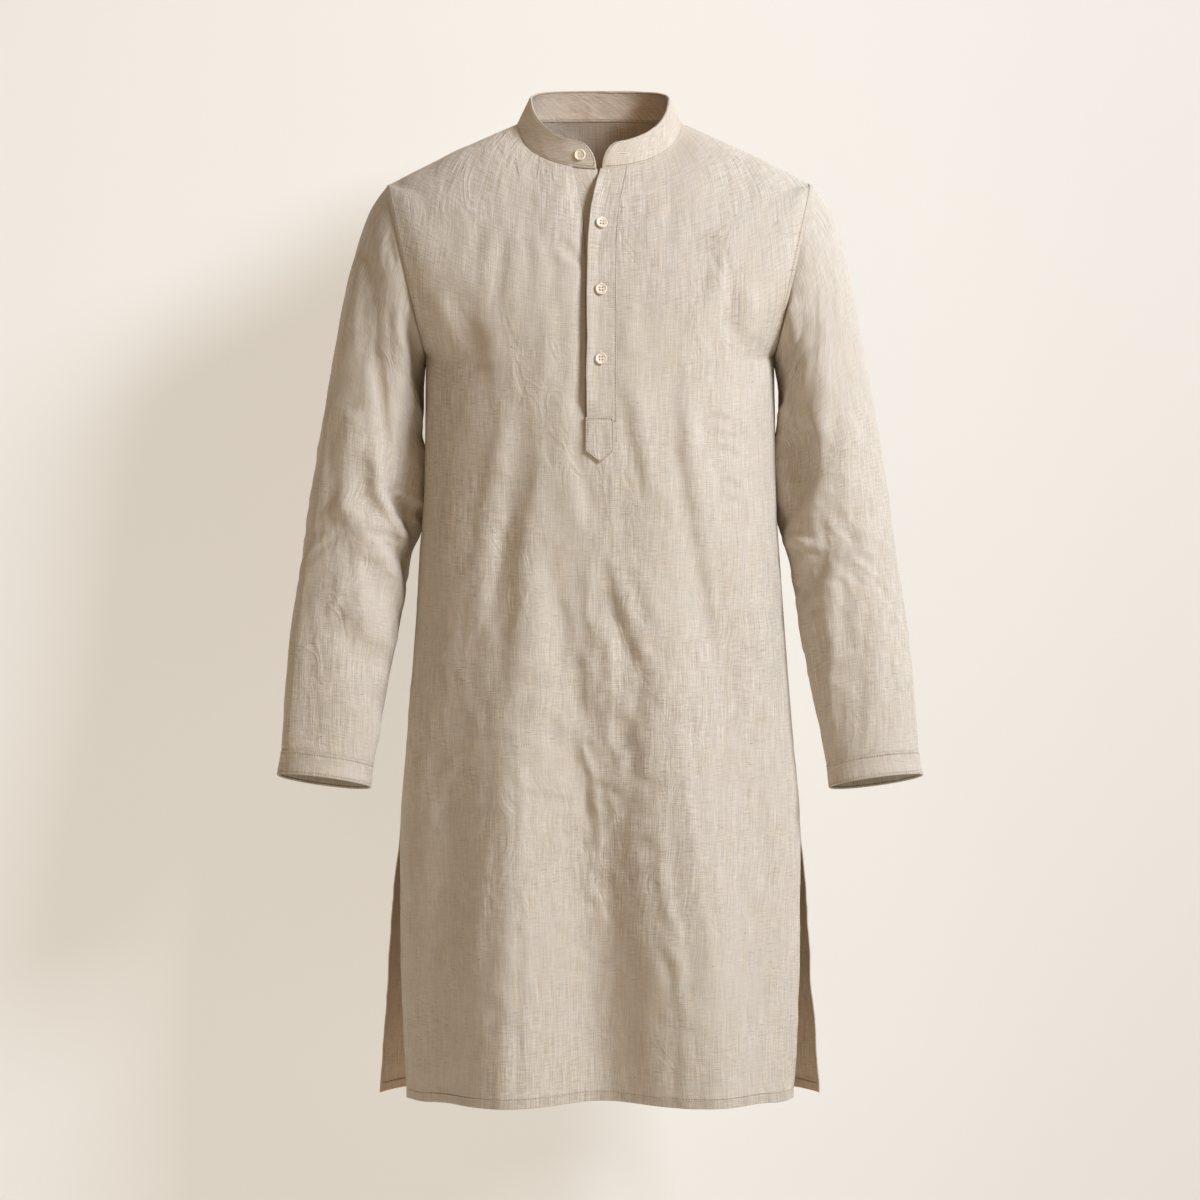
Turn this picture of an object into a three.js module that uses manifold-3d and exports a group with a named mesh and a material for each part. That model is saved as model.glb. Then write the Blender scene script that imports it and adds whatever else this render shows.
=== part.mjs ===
// Long-sleeved linen kurta with a band collar and a half-length button placket, in its worn shape.
// Millimetres, +Z up. The wearer faces -Y, and +X is the wearer's left side.
// The origin is the centre of the neck base, level with the two high shoulder points.
import * as THREE from "three";
import { mergeVertices } from "three/addons/utils/BufferGeometryUtils.js";
import Module from "manifold-3d";

const wasm = await Module();
wasm.setup();

// ---------- driving dimensions ----------

const SEAM_GAP = 0.3; // clear space between two pieces that are sewn together
const PANEL_WALL = 1.6; // front, back and sleeves
const STRIP_WALL = 1.4; // placket strips and tail
const BAND_WALL = 2.2; // collar band and cuffs, two layers of cloth

// A level is the drop of a row of the body below the high shoulder points, measured at centre front.
const NECK_LEVEL = 54;
const TIP_LEVEL = 140; // row that ends at the shoulder tips
const ARMPIT_LEVEL = 268; // row that ends at the armpits
const SLIT_LEVEL = 754; // top of the side slits
const HEM_LEVEL = 1048;

const SHOULDER_POINT = new THREE.Vector3(88.5, 0, 0); // where neck and shoulder seam meet
const SHOULDER_TIP = new THREE.Vector3(230, 4, -67);
const ARMPIT = new THREE.Vector3(188, 0, -250);
const SHOULDER_ARCH = 2; // how far the shoulder seam bows up between its ends
const ARMHOLE_HALF_DEPTH = 75;

// Centre lines of the body: front and back are Y, backZ is the height of the back centre.
// The fall says how fast a row drops from its side to its centre; round 2 is an ellipse in plan.
const TORSO = [
  { level: 54, front: -70, back: 68, backZ: 10.6, frontFall: 0.7, backFall: 0.4, frontRound: 2, backRound: 2.5 },
  { level: 75, front: -83, back: 84, backZ: -14, frontFall: 1.6, backFall: 1.2, frontRound: 2, backRound: 2.4 },
  { level: 97, front: -94, back: 97, backZ: -45, frontFall: 2.2, backFall: 1.9, frontRound: 2.05, backRound: 2.3 },
  { level: 118, front: -102, back: 105, backZ: -78, frontFall: 2.3, backFall: 2.1, frontRound: 2.1, backRound: 2.2 },
  { level: 140, front: -109, back: 110, backZ: -110, frontFall: 2.3, backFall: 2.2, frontRound: 2.15, backRound: 2.2 },
  { level: 180, front: -118, back: 115, backZ: -158, frontFall: 1.5, backFall: 1.5, frontRound: 2.2, backRound: 2.2 },
  { level: 225, front: -124, back: 116, backZ: -211, frontFall: 1.1, backFall: 1.1, frontRound: 2.25, backRound: 2.25 },
  { level: 268, front: -126, back: 113, backZ: -262, frontFall: 1, backFall: 1, frontRound: 2.3, backRound: 2.3 },
  { level: 340, front: -124, back: 107, backZ: -338, frontFall: 1, backFall: 1, frontRound: 2.35, backRound: 2.3 },
  { level: 450, front: -117, back: 100, backZ: -450, frontFall: 1, backFall: 1, frontRound: 2.35, backRound: 2.3 },
  { level: 590, front: -112, back: 104, backZ: -590, frontFall: 1, backFall: 1, frontRound: 2.3, backRound: 2.3 },
  { level: 754, front: -112, back: 112, backZ: -754, frontFall: 1, backFall: 1, frontRound: 2.3, backRound: 2.3 },
  { level: 900, front: -113, back: 117, backZ: -900, frontFall: 1, backFall: 1, frontRound: 2.3, backRound: 2.3 },
  { level: 1048, front: -112, back: 120, backZ: -1048, frontFall: 1, backFall: 1, frontRound: 2.3, backRound: 2.3 },
];

// Side seams, then the free edges of front and back beside the slits.
const SIDES = [
  { level: 268, frontX: 188, backX: 188, frontY: 0, backY: 0 },
  { level: 340, frontX: 188.6, backX: 188.6, frontY: 0, backY: 0 },
  { level: 420, frontX: 190, backX: 190, frontY: 0, backY: 0 },
  { level: 500, frontX: 195.5, backX: 195.5, frontY: 0, backY: 0 },
  { level: 600, frontX: 203, backX: 203, frontY: 0, backY: 0 },
  { level: 680, frontX: 209.6, backX: 209.6, frontY: 0, backY: 0 },
  { level: 754, frontX: 215.6, backX: 215.6, frontY: 0, backY: 0 },
  { level: 830, frontX: 214.9, backX: 223.4, frontY: -7, backY: 7 },
  { level: 940, frontX: 213.6, backX: 230.5, frontY: -17, backY: 14 },
  { level: 1048, frontX: 207.5, backX: 239, frontY: -29, backY: 20 },
];

// Folds of the body: each runs from its first to its last level along three X positions, and
// stands out (or sinks in, when below zero) by its rise where it is strongest.
const BODY_FOLDS = [
  { face: "front", from: 360, peak: 1048, to: 1600, x: [-79, -97, -102], left: 62, right: 52, rise: 17 },
  { face: "front", from: 360, peak: 1048, to: 1600, x: [10, 62, 101], left: 38, right: 66, rise: 19 },
  { face: "front", from: 430, peak: 1048, to: 1600, x: [-50, -24, 4], left: 60, right: 46, rise: -26 },
  { face: "front", from: 330, peak: 430, to: 560, x: [-110, -108, -106], left: 18, right: 16, rise: -4 },
  { face: "front", from: 380, peak: 560, to: 760, x: [112, 146, 164], left: 22, right: 20, rise: -5 },
  { face: "front", from: 760, peak: 1048, to: 1600, x: [-140, -146, -150], left: 26, right: 24, rise: -5 },
  { face: "front", from: 300, peak: 400, to: 520, x: [70, 66, 60], left: 26, right: 26, rise: 3 },
  { face: "back", from: 420, peak: 1048, to: 1600, x: [70, 82, 96], left: 56, right: 48, rise: 15 },
  { face: "back", from: 390, peak: 1048, to: 1600, x: [-44, -66, -92], left: 54, right: 44, rise: 17 },
  { face: "back", from: 440, peak: 1048, to: 1600, x: [18, 12, -4], left: 44, right: 48, rise: -22 },
  { face: "back", from: 330, peak: 470, to: 640, x: [4, 10, 18], left: 30, right: 34, rise: -5 },
  { face: "back", from: 560, peak: 860, to: 1600, x: [150, 158, 166], left: 24, right: 22, rise: -5 },
];

// Sleeve rings by distance along the arm: outer and inner points in X and Z, centre Y, half depth,
// and the tilt in degrees that the forearm's forward swing gives the ring.
const SLEEVE_LENGTH = 613;
const CUFF_LENGTH = 25;
const SLEEVE = [
  { along: 0, outerX: 230, outerZ: -67, innerX: 188, innerZ: -250, y: 2, depth: 75, tilt: 0 },
  { along: 25, outerX: 247, outerZ: -92, innerX: 189.8, innerZ: -262, y: 2, depth: 75, tilt: 0 },
  { along: 55, outerX: 258.5, outerZ: -121, innerX: 190.8, innerZ: -275, y: 3, depth: 73, tilt: 0 },
  { along: 90, outerX: 268, outerZ: -157, innerX: 191.4, innerZ: -290, y: 4, depth: 71, tilt: 0 },
  { along: 130, outerX: 277, outerZ: -197, innerX: 191.9, innerZ: -308, y: 5, depth: 68.5, tilt: 0 },
  { along: 180, outerX: 286.5, outerZ: -250, innerX: 192.3, innerZ: -331, y: 6, depth: 66, tilt: 0 },
  { along: 240, outerX: 297.5, outerZ: -312, innerX: 192.8, innerZ: -362, y: 7, depth: 63, tilt: 0 },
  { along: 300, outerX: 307, outerZ: -374, innerX: 194.8, innerZ: -402, y: 7, depth: 60, tilt: 0.5 },
  { along: 360, outerX: 316, outerZ: -436, innerX: 203.3, innerZ: -452, y: 4, depth: 58, tilt: 2 },
  { along: 420, outerX: 324, outerZ: -492, innerX: 211, innerZ: -505, y: -3, depth: 55, tilt: 5 },
  { along: 480, outerX: 331, outerZ: -550, innerX: 220.5, innerZ: -563, y: -13, depth: 51, tilt: 8 },
  { along: 540, outerX: 336.5, outerZ: -606, innerX: 230.5, innerZ: -619, y: -24, depth: 46, tilt: 9 },
  { along: 590, outerX: 340, outerZ: -653, innerX: 238.5, innerZ: -667, y: -33, depth: 41, tilt: 9.5 },
  { along: 613, outerX: 341.5, outerZ: -677, innerX: 242.6, innerZ: -691, y: -38, depth: 39, tilt: 9.5 },
  { along: 638, outerX: 345, outerZ: -702, innerX: 246, innerZ: -715, y: -42, depth: 38, tilt: 9.5 },
];

// Folds of the sleeves, as straight runs over the sleeve: turn 0 is the outer side, 90 the front,
// 180 the inner side and 270 the back. Widths and rises are millimetres.
const SLEEVE_FOLDS = [
  { arm: "right", from: [235, 66], to: [335, 72], width: 12, rise: 4 },
  { arm: "right", from: [330, 74], to: [430, 165], width: 15, rise: 5 },
  { arm: "right", from: [330, 112], to: [395, 165], width: 13, rise: -4 },
  { arm: "right", from: [60, 60], to: [235, 108], width: 17, rise: -4 },
  { arm: "right", from: [345, 285], to: [400, 205], width: 15, rise: 4 },
  { arm: "left", from: [250, 60], to: [335, 118], width: 15, rise: 4 },
  { arm: "left", from: [338, 66], to: [425, 158], width: 14, rise: -4 },
  { arm: "left", from: [375, 52], to: [430, 120], width: 14, rise: 4 },
  { arm: "left", from: [70, 120], to: [170, 132], width: 15, rise: -3.5 },
  { arm: "left", from: [340, 290], to: [405, 215], width: 15, rise: 4 },
];

// Collar band: the upper ring is smaller and higher than the neck seam, and both ends are rounded.
const BAND_TOP_SIDE = new THREE.Vector3(74, -5, 28);
const BAND_TOP_FRONT = { y: -71, z: -27 };
const BAND_TOP_BACK = { y: 59, z: 42.6 };
const BAND_RIGHT_END = { x: -4, round: 21 };
const BAND_LEFT_END = { x: 2, round: 18 };

// Placket: the strips stand apart at the neck by the spread, which dies out down the front.
const PLACKET = { overFree: -14.2, overSewn: 17.2, cutRight: -15.2, cutLeft: 15.4, underFree: 12.5 };
const PLACKET_SPREAD = 14.4;
const SPREAD_REACH = 42;
const STRIP_LAP = 2; // how far the under strip reaches behind the panel's cut edge
const STRIP_START_LEVEL = NECK_LEVEL + 0.8;
const OVER_END_LEVEL = 321;
const CUT_END_LEVEL = 345;
const UNDER_END_LEVEL = 352;
const TAIL = { left: -15.3, right: 14.5, tipX: 0.8, topZ: -321.8, cornerZ: -357, tipZ: -369 };

// Buttons: a dished disc with a raised rim and four thread holes.
const BUTTON_DIAMETER = 12.4;
const BUTTON_THICKNESS = 2.8;
const THREAD_HOLE_DIAMETER = 1.6;
const THREAD_HOLE_OFFSET = 1.35; // of each hole from the button's two middle lines
const PLACKET_BUTTONS = [{ x: 2, z: -116 }, { x: 1.2, z: -187 }, { x: 1, z: -260 }];
const COLLAR_BUTTON = { x: -21, height: 0.46 };

const CORNER_REACH = 30; // levels over which a row forgets the corners of its side line
const EDGE_START = 0.55; // share of a half row after which it bends to the true side line

const SHOULDER_ROWS = 4;
const ARMHOLE_ROWS = 9;
const LOWER_LEVELS = [295, 321, 345, 370, 430, 495, 560, 625, 690, 754, 815, 875, 935, 992, 1048];
const HALF_COLUMNS = 13;
const BACK_COLUMNS = 20;
const SLEEVE_RINGS = 16;
const BAND_HEIGHTS = [0, 0.55, 0.86, 1];

const LINEN = { color: 0xc9bba4, roughness: 0.9, metalness: 0 };
const BUTTON_SHELL = { color: 0xd8c3a4, roughness: 0.45, metalness: 0 };

// ---------- curves ----------

// Smooth value of one column of a table whose rows rise by their key.
function follow(rows, key, column, at) {
  const last = rows.length - 1;
  let low = 0;
  while (low < last - 1 && at > rows[low + 1][key]) {
    low += 1;
  }
  const slopeAt = (index) => {
    const before = rows[Math.max(index - 1, 0)];
    const after = rows[Math.min(index + 1, last)];
    return (after[column] - before[column]) / (after[key] - before[key]);
  };
  const start = rows[low];
  const end = rows[low + 1];
  const span = end[key] - start[key];
  const t = THREE.MathUtils.clamp((at - start[key]) / span, 0, 1);
  const blend = t * t * (3 - 2 * t);
  const leave = t * (1 - t) * (1 - t) * span * slopeAt(low);
  const arrive = t * t * (1 - t) * span * slopeAt(low + 1);
  return start[column] + (end[column] - start[column]) * blend + leave - arrive;
}

// A power of a cosine whose slope stays finite where the cosine reaches zero.
function softPower(cosine, power) {
  const soften = 0.1;
  const raise = (value) => Math.pow(value * value + soften * soften, power / 2);
  return (raise(cosine) - raise(0)) / (raise(1) - raise(0));
}

function bell(distance, width) {
  return Math.exp(-Math.pow(distance / width, 2));
}

// ---------- the body ----------

// Point of the armhole: turn 0 is the shoulder tip, 180 the armpit, 90 the front, 270 the back.
function armholePoint(turn) {
  const angle = THREE.MathUtils.degToRad(turn);
  const middle = SHOULDER_TIP.clone().add(ARMPIT).multiplyScalar(0.5);
  const half = SHOULDER_TIP.clone().sub(ARMPIT).multiplyScalar(0.5);
  const point = middle.addScaledVector(half, Math.cos(angle));
  point.y -= ARMHOLE_HALF_DEPTH * Math.sin(angle);
  return point;
}

// Where a row of the body ends at the wearer's left side.
function sidePoint(face, level) {
  if (level <= TIP_LEVEL) {
    const share = Math.max((level - NECK_LEVEL) / (TIP_LEVEL - NECK_LEVEL), 0);
    const point = SHOULDER_POINT.clone().lerp(SHOULDER_TIP, share);
    point.z += SHOULDER_ARCH * Math.sin(Math.PI * share);
    return point;
  }
  if (level <= ARMPIT_LEVEL) {
    const turn = (180 * (level - TIP_LEVEL)) / (ARMPIT_LEVEL - TIP_LEVEL);
    return armholePoint(face === "front" ? turn : 360 - turn);
  }
  const share = Math.min((level - ARMPIT_LEVEL) / (SLIT_LEVEL - ARMPIT_LEVEL), 1);
  const x = follow(SIDES, "level", `${face}X`, level);
  const y = level <= SLIT_LEVEL ? 0 : follow(SIDES, "level", `${face}Y`, level);
  const z = THREE.MathUtils.lerp(ARMPIT.z + ARMPIT_LEVEL, 0, share) - level;
  return new THREE.Vector3(x, y, z);
}

// The side line with its corners at shoulder tip and armpit rounded off, for rows to grow from.
function roundedSide(face, level) {
  const reach = Math.min(CORNER_REACH, level - NECK_LEVEL);
  const point = new THREE.Vector3();
  const taps = 4;
  let total = 0;
  for (let tap = -taps; tap <= taps; tap += 1) {
    const weight = taps + 1 - Math.abs(tap);
    const near = Math.min(level + (reach * tap) / taps, HEM_LEVEL);
    point.addScaledVector(sidePoint(face, near), weight);
    total += weight;
  }
  return point.divideScalar(total);
}

const rowShapes = new Map();

// The curve of a row; its sweep is how far round its plan curve the side lies, in radians.
function rowShape(face, level) {
  const key = `${face} ${level}`;
  if (!rowShapes.has(key)) {
    const side = roundedSide(face, level);
    const centreY = follow(TORSO, "level", face, level);
    rowShapes.set(key, {
      side,
      centreY,
      correction: sidePoint(face, level).sub(side),
      centreZ: face === "front" ? -level : follow(TORSO, "level", "backZ", level),
      sweep: Math.acos(THREE.MathUtils.clamp(side.y / centreY, 0, 1)),
      round: follow(TORSO, "level", `${face}Round`, level),
      fall: follow(TORSO, "level", `${face}Fall`, level),
    });
  }
  return rowShapes.get(key);
}

// Point of a row before folding: turn runs from -1 at the right side to 1 at the left side.
function plainPoint(face, level, turn) {
  const { side, correction, centreY, centreZ, sweep, round, fall } = rowShape(face, level);
  const angle = Math.min(Math.abs(turn), 1) * sweep;
  const across = Math.pow(Math.sin(angle) / Math.sin(sweep), 2 / round);
  const inward = Math.max((Math.cos(angle) - Math.cos(sweep)) / (1 - Math.cos(sweep)), 0);
  const edge = THREE.MathUtils.smoothstep(Math.abs(turn), EDGE_START, 1);
  return new THREE.Vector3(
    Math.sign(turn) * (side.x * across + correction.x * edge),
    side.y + (centreY - side.y) * Math.pow(inward, 2 / round) + correction.y * edge,
    side.z + (centreZ - side.z) * softPower(inward, fall) + correction.z * edge,
  );
}

// Turn at which a row passes a given X.
function turnAt(face, level, x) {
  const { side, sweep, round } = rowShape(face, level);
  const across = Math.min(Math.abs(x) / side.x, 1);
  return (Math.sign(x) * Math.asin(Math.pow(across, round / 2) * Math.sin(sweep))) / sweep;
}

function normalOf(pointAt, level, turn, levelStep, turnStep) {
  const alongTurn = pointAt(level, Math.min(turn + turnStep, 1));
  alongTurn.sub(pointAt(level, Math.max(turn - turnStep, -1)));
  const alongLevel = pointAt(level + levelStep, turn).sub(pointAt(level - levelStep, turn));
  return alongTurn.cross(alongLevel).normalize();
}

function bodyRise(face, level, point, turn) {
  let rise = 0;
  for (const fold of BODY_FOLDS.filter((row) => row.face === face)) {
    const run = THREE.MathUtils.clamp((level - fold.from) / (HEM_LEVEL - fold.from), 0, 1);
    const [top, middle, bottom] = fold.x;
    const upper = THREE.MathUtils.lerp(top, middle, run);
    const lower = THREE.MathUtils.lerp(middle, bottom, run);
    const centre = THREE.MathUtils.lerp(upper, lower, run);
    const reach = point.x < centre ? fold.left : fold.right;
    const grow = THREE.MathUtils.smoothstep(level, fold.from, fold.peak);
    const fade = 1 - THREE.MathUtils.smoothstep(level, fold.peak, fold.to);
    rise += fold.rise * grow * fade * bell(point.x - centre, reach * (0.55 + 0.45 * grow));
  }
  return rise * THREE.MathUtils.smoothstep(1 - Math.abs(turn), 0, 0.16);
}

// The front hem hangs lower over the two outer folds than at the middle and the corners.
function hemSag(x) {
  const corners = 1 - THREE.MathUtils.smoothstep(Math.abs(x), 185, 206);
  return 2.4 * (1 - 2.3 * bell(x - 4, 62)) * corners;
}

function bodyPoint(face, level, turn) {
  const point = plainPoint(face, level, turn);
  const plain = (l, t) => plainPoint(face, l, t);
  const out = normalOf(plain, level, turn, 2, 0.01);
  if (face === "front") {
    out.negate();
  }
  const sag = face === "front" ? hemSag(point.x) * THREE.MathUtils.smoothstep(level, 850, HEM_LEVEL) : 0;
  const rise = bodyRise(face, level, point, turn);
  point.z -= sag;
  return point.addScaledVector(out, rise);
}

// Outer surface of the body as a point and its outward normal.
function bodySpot(face, level, turn) {
  const normal = normalOf((l, t) => bodyPoint(face, l, t), level, turn, 2, 0.01);
  if (face === "front") {
    normal.negate();
  }
  return { point: bodyPoint(face, level, turn), normal };
}

// Level at which the front passes a height at a given X.
function frontLevelAt(x, z) {
  let low = NECK_LEVEL;
  let high = HEM_LEVEL;
  for (let step = 0; step < 40; step += 1) {
    const level = (low + high) / 2;
    if (bodyPoint("front", level, turnAt("front", level, x)).z > z) {
      low = level;
    } else {
      high = level;
    }
  }
  return (low + high) / 2;
}

function bodyLevels() {
  const levels = [];
  for (let row = 0; row <= SHOULDER_ROWS; row += 1) {
    levels.push(THREE.MathUtils.lerp(NECK_LEVEL, TIP_LEVEL, row / SHOULDER_ROWS));
  }
  for (let row = 1; row <= ARMHOLE_ROWS; row += 1) {
    levels.push(THREE.MathUtils.lerp(TIP_LEVEL, ARMPIT_LEVEL, row / ARMHOLE_ROWS));
  }
  return levels.concat(LOWER_LEVELS);
}

// How far each side of the front is drawn away from the middle at a level.
function spreadAt(level) {
  return PLACKET_SPREAD * Math.exp(-Math.pow((level - NECK_LEVEL) / SPREAD_REACH, 1.4));
}

function cutEdges(level) {
  return [PLACKET.cutRight - spreadAt(level), PLACKET.cutLeft + spreadAt(level)];
}

function frontTurns(level) {
  const [right, left] = cutEdges(level).map((x) => turnAt("front", level, x));
  const turns = [];
  for (let column = 0; column <= HALF_COLUMNS; column += 1) {
    turns.push(THREE.MathUtils.lerp(-1, right, column / HALF_COLUMNS));
  }
  turns.push((right + left) / 2);
  for (let column = 0; column <= HALF_COLUMNS; column += 1) {
    turns.push(THREE.MathUtils.lerp(left, 1, column / HALF_COLUMNS));
  }
  return turns;
}

function backTurns() {
  return Array.from({ length: BACK_COLUMNS + 1 }, (_, column) => (2 * column) / BACK_COLUMNS - 1);
}

// ---------- sleeves ----------

function sleeveRing(along) {
  const value = (column) => follow(SLEEVE, "along", column, along);
  const outer = new THREE.Vector3(value("outerX"), value("y"), value("outerZ"));
  const inner = new THREE.Vector3(value("innerX"), value("y"), value("innerZ"));
  const tilt = THREE.MathUtils.degToRad(value("tilt"));
  const forward = new THREE.Vector3(0, -Math.cos(tilt), Math.sin(tilt));
  const armholeShare = 1 - THREE.MathUtils.smoothstep(along, 0, 60);
  outer.y += (SHOULDER_TIP.y - 2) * armholeShare;
  inner.y += (ARMPIT.y - 2) * armholeShare;
  return { outer, inner, forward: forward.multiplyScalar(value("depth")) };
}

function sleeveRise(arm, along, turn) {
  const radius = 58;
  const spot = new THREE.Vector2(along, THREE.MathUtils.degToRad(turn) * radius);
  let rise = 0;
  for (const fold of SLEEVE_FOLDS.filter((row) => row.arm === arm)) {
    const start = new THREE.Vector2(fold.from[0], THREE.MathUtils.degToRad(fold.from[1]) * radius);
    const end = new THREE.Vector2(fold.to[0], THREE.MathUtils.degToRad(fold.to[1]) * radius);
    const run = end.clone().sub(start);
    const share = THREE.MathUtils.clamp(spot.clone().sub(start).dot(run) / run.lengthSq(), 0, 1);
    const nearest = start.addScaledVector(run, share);
    rise += fold.rise * bell(nearest.distanceTo(spot), fold.width);
  }
  return rise * THREE.MathUtils.smoothstep(along, 0, 60);
}

// Point of the wearer's left sleeve; the right one is mirrored later.
function sleevePoint(arm, along, turn) {
  const { outer, inner, forward } = sleeveRing(along);
  const angle = THREE.MathUtils.degToRad(turn);
  const middle = outer.clone().add(inner).multiplyScalar(0.5);
  const out = outer.sub(inner).multiplyScalar(0.5 * Math.cos(angle));
  out.addScaledVector(forward, Math.sin(angle));
  const rise = sleeveRise(arm, along, ((turn % 360) + 360) % 360);
  return middle.add(out).addScaledVector(out.clone().normalize(), rise);
}

function sleeveSpot(arm, along, turn) {
  const step = 1.5;
  const first = Math.max(along - step, 0);
  const around = sleevePoint(arm, along, turn + step).sub(sleevePoint(arm, along, turn - step));
  const down = sleevePoint(arm, along + step, turn).sub(sleevePoint(arm, first, turn));
  return { point: sleevePoint(arm, along, turn), normal: around.cross(down).normalize() };
}

function sleeveGrid(arm, from, to, rings) {
  const sides = 2 * ARMHOLE_ROWS;
  return Array.from({ length: rings + 1 }, (_, ring) =>
    Array.from({ length: sides }, (__, side) =>
      sleeveSpot(arm, THREE.MathUtils.lerp(from, to, ring / rings), (360 * side) / sides)));
}

// ---------- collar band ----------

// Point of the band: angle 0 is centre front, 90 the wearer's left; height 0 is the neck seam.
function bandPoint(angle, height) {
  const full = ((angle % 360) + 360) % 360;
  const face = full > 90 && full < 270 ? "back" : "front";
  const fromFront = full > 180 ? 360 - full : full;
  const turn = (face === "front" ? fromFront : 180 - fromFront) / 90;
  const sign = full > 180 ? -1 : 1;
  const seam = plainPoint(face, NECK_LEVEL, sign * turn);
  const { round, fall } = rowShape(face, NECK_LEVEL);
  const centre = face === "front" ? BAND_TOP_FRONT : BAND_TOP_BACK;
  const inward = Math.cos((turn * Math.PI) / 2);
  const across = Math.pow(Math.sin((turn * Math.PI) / 2), 2 / round);
  const top = new THREE.Vector3(
    sign * BAND_TOP_SIDE.x * across,
    BAND_TOP_SIDE.y + (centre.y - BAND_TOP_SIDE.y) * Math.pow(inward, 2 / round),
    BAND_TOP_SIDE.z + (centre.z - BAND_TOP_SIDE.z) * softPower(inward, fall),
  );
  return seam.lerp(top, height);
}

function bandSpot(angle, height) {
  const step = 0.5;
  const around = bandPoint(angle + step, height).sub(bandPoint(angle - step, height));
  const up = bandPoint(angle, 1).sub(bandPoint(angle, 0));
  return { point: bandPoint(angle, height), normal: around.cross(up).normalize() };
}

function bandAngleAt(x, height) {
  const halfWidth = THREE.MathUtils.lerp(SHOULDER_POINT.x, BAND_TOP_SIDE.x, height);
  return THREE.MathUtils.radToDeg(Math.asin(x / halfWidth));
}

// Angles of the seam row: both ends, and between them the same places as the panels' neck rows.
function bandSeamAngles() {
  const front = frontTurns(NECK_LEVEL).map((turn) => 90 * turn);
  const leftHalf = front.slice(HALF_COLUMNS + 2);
  const rightHalf = front.slice(0, HALF_COLUMNS + 1).map((angle) => 360 + angle);
  const back = backTurns().slice(1, -1).reverse().map((turn) => 180 - 90 * turn);
  const start = bandAngleAt(BAND_LEFT_END.x, 0);
  const end = 360 + bandAngleAt(BAND_RIGHT_END.x, 0);
  const afterStart = (start + leftHalf[0]) / 2;
  const beforeEnd = (end + rightHalf.at(-1)) / 2;
  return [start, afterStart, ...leftHalf, ...back, ...rightHalf, beforeEnd, end];
}

function bandGrid() {
  const seamAngles = bandSeamAngles();
  const seamSpan = seamAngles.at(-1) - seamAngles[0];
  return BAND_HEIGHTS.map((height) => {
    const roundOff = 1 - Math.sqrt(1 - height * height);
    const start = bandAngleAt(BAND_LEFT_END.x + BAND_LEFT_END.round * roundOff, height);
    const end = 360 + bandAngleAt(BAND_RIGHT_END.x - BAND_RIGHT_END.round * roundOff, height);
    return seamAngles.map((angle) =>
      bandSpot(THREE.MathUtils.lerp(start, end, (angle - seamAngles[0]) / seamSpan), height));
  });
}

// ---------- walls ----------

// Closed solid between a grid of spots and the same grid moved inward by the thickness.
function wall(grid, { thickness, lift = 0, closed = false, open = () => false }) {
  const rows = grid.length;
  const columns = grid[0].length;
  const positions = [];
  for (const depth of [lift, lift - thickness]) {
    for (const { point, normal } of grid.flat()) {
      positions.push(...point.clone().addScaledVector(normal, depth).toArray());
    }
  }
  const layer = rows * columns;
  const vertex = (row, column) => row * columns + (column % columns);
  const cellColumns = closed ? columns : columns - 1;
  const isCell = (row, column) => {
    const inRange = row >= 0 && row < rows - 1 && (closed || (column >= 0 && column < cellColumns));
    return inRange && !open(row, column);
  };
  const index = [];
  const quad = (a, b, c, d) => index.push(a, b, c, a, c, d);
  for (let row = 0; row < rows - 1; row += 1) {
    for (let column = 0; column < cellColumns; column += 1) {
      if (!isCell(row, column)) {
        continue;
      }
      const corners = [
        vertex(row, column),
        vertex(row + 1, column),
        vertex(row + 1, column + 1),
        vertex(row, column + 1),
      ];
      const [a, b, c, d] = corners;
      quad(a, b, c, d);
      quad(a + layer, d + layer, c + layer, b + layer);
      const neighbours = [[row, column - 1], [row + 1, column], [row, column + 1], [row - 1, column]];
      neighbours.forEach(([nextRow, nextColumn], edge) => {
        const wrapped = closed ? (nextColumn + columns) % columns : nextColumn;
        if (!isCell(nextRow, wrapped)) {
          const from = corners[edge];
          const to = corners[(edge + 1) % 4];
          quad(to, from, from + layer, to + layer);
        }
      });
    }
  }
  return tidySolid(positions, index);
}

// Drops unused vertices and turns the faces outward.
function tidySolid(positions, index) {
  const a = new THREE.Vector3();
  const b = new THREE.Vector3();
  const c = new THREE.Vector3();
  let volume = 0;
  for (let i = 0; i < index.length; i += 3) {
    a.fromArray(positions, 3 * index[i]);
    b.fromArray(positions, 3 * index[i + 1]);
    c.fromArray(positions, 3 * index[i + 2]);
    volume += a.dot(b.cross(c));
  }
  const order = volume < 0 ? [0, 2, 1] : [0, 1, 2];
  const used = new Map();
  const kept = [];
  const tidy = [];
  for (let i = 0; i < index.length; i += 3) {
    for (const corner of order) {
      const old = index[i + corner];
      if (!used.has(old)) {
        used.set(old, used.size);
        kept.push(positions[3 * old], positions[3 * old + 1], positions[3 * old + 2]);
      }
      tidy.push(used.get(old));
    }
  }
  const geometry = new THREE.BufferGeometry();
  geometry.setAttribute("position", new THREE.Float32BufferAttribute(kept, 3));
  geometry.setIndex(tidy);
  geometry.computeVertexNormals();
  return geometry;
}

function mirrored(grid) {
  const flip = (vector) => new THREE.Vector3(-vector.x, vector.y, vector.z);
  return grid.map((row) => row.map(({ point, normal }) => ({ point: flip(point), normal: flip(normal) })));
}

// ---------- seams ----------

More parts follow.
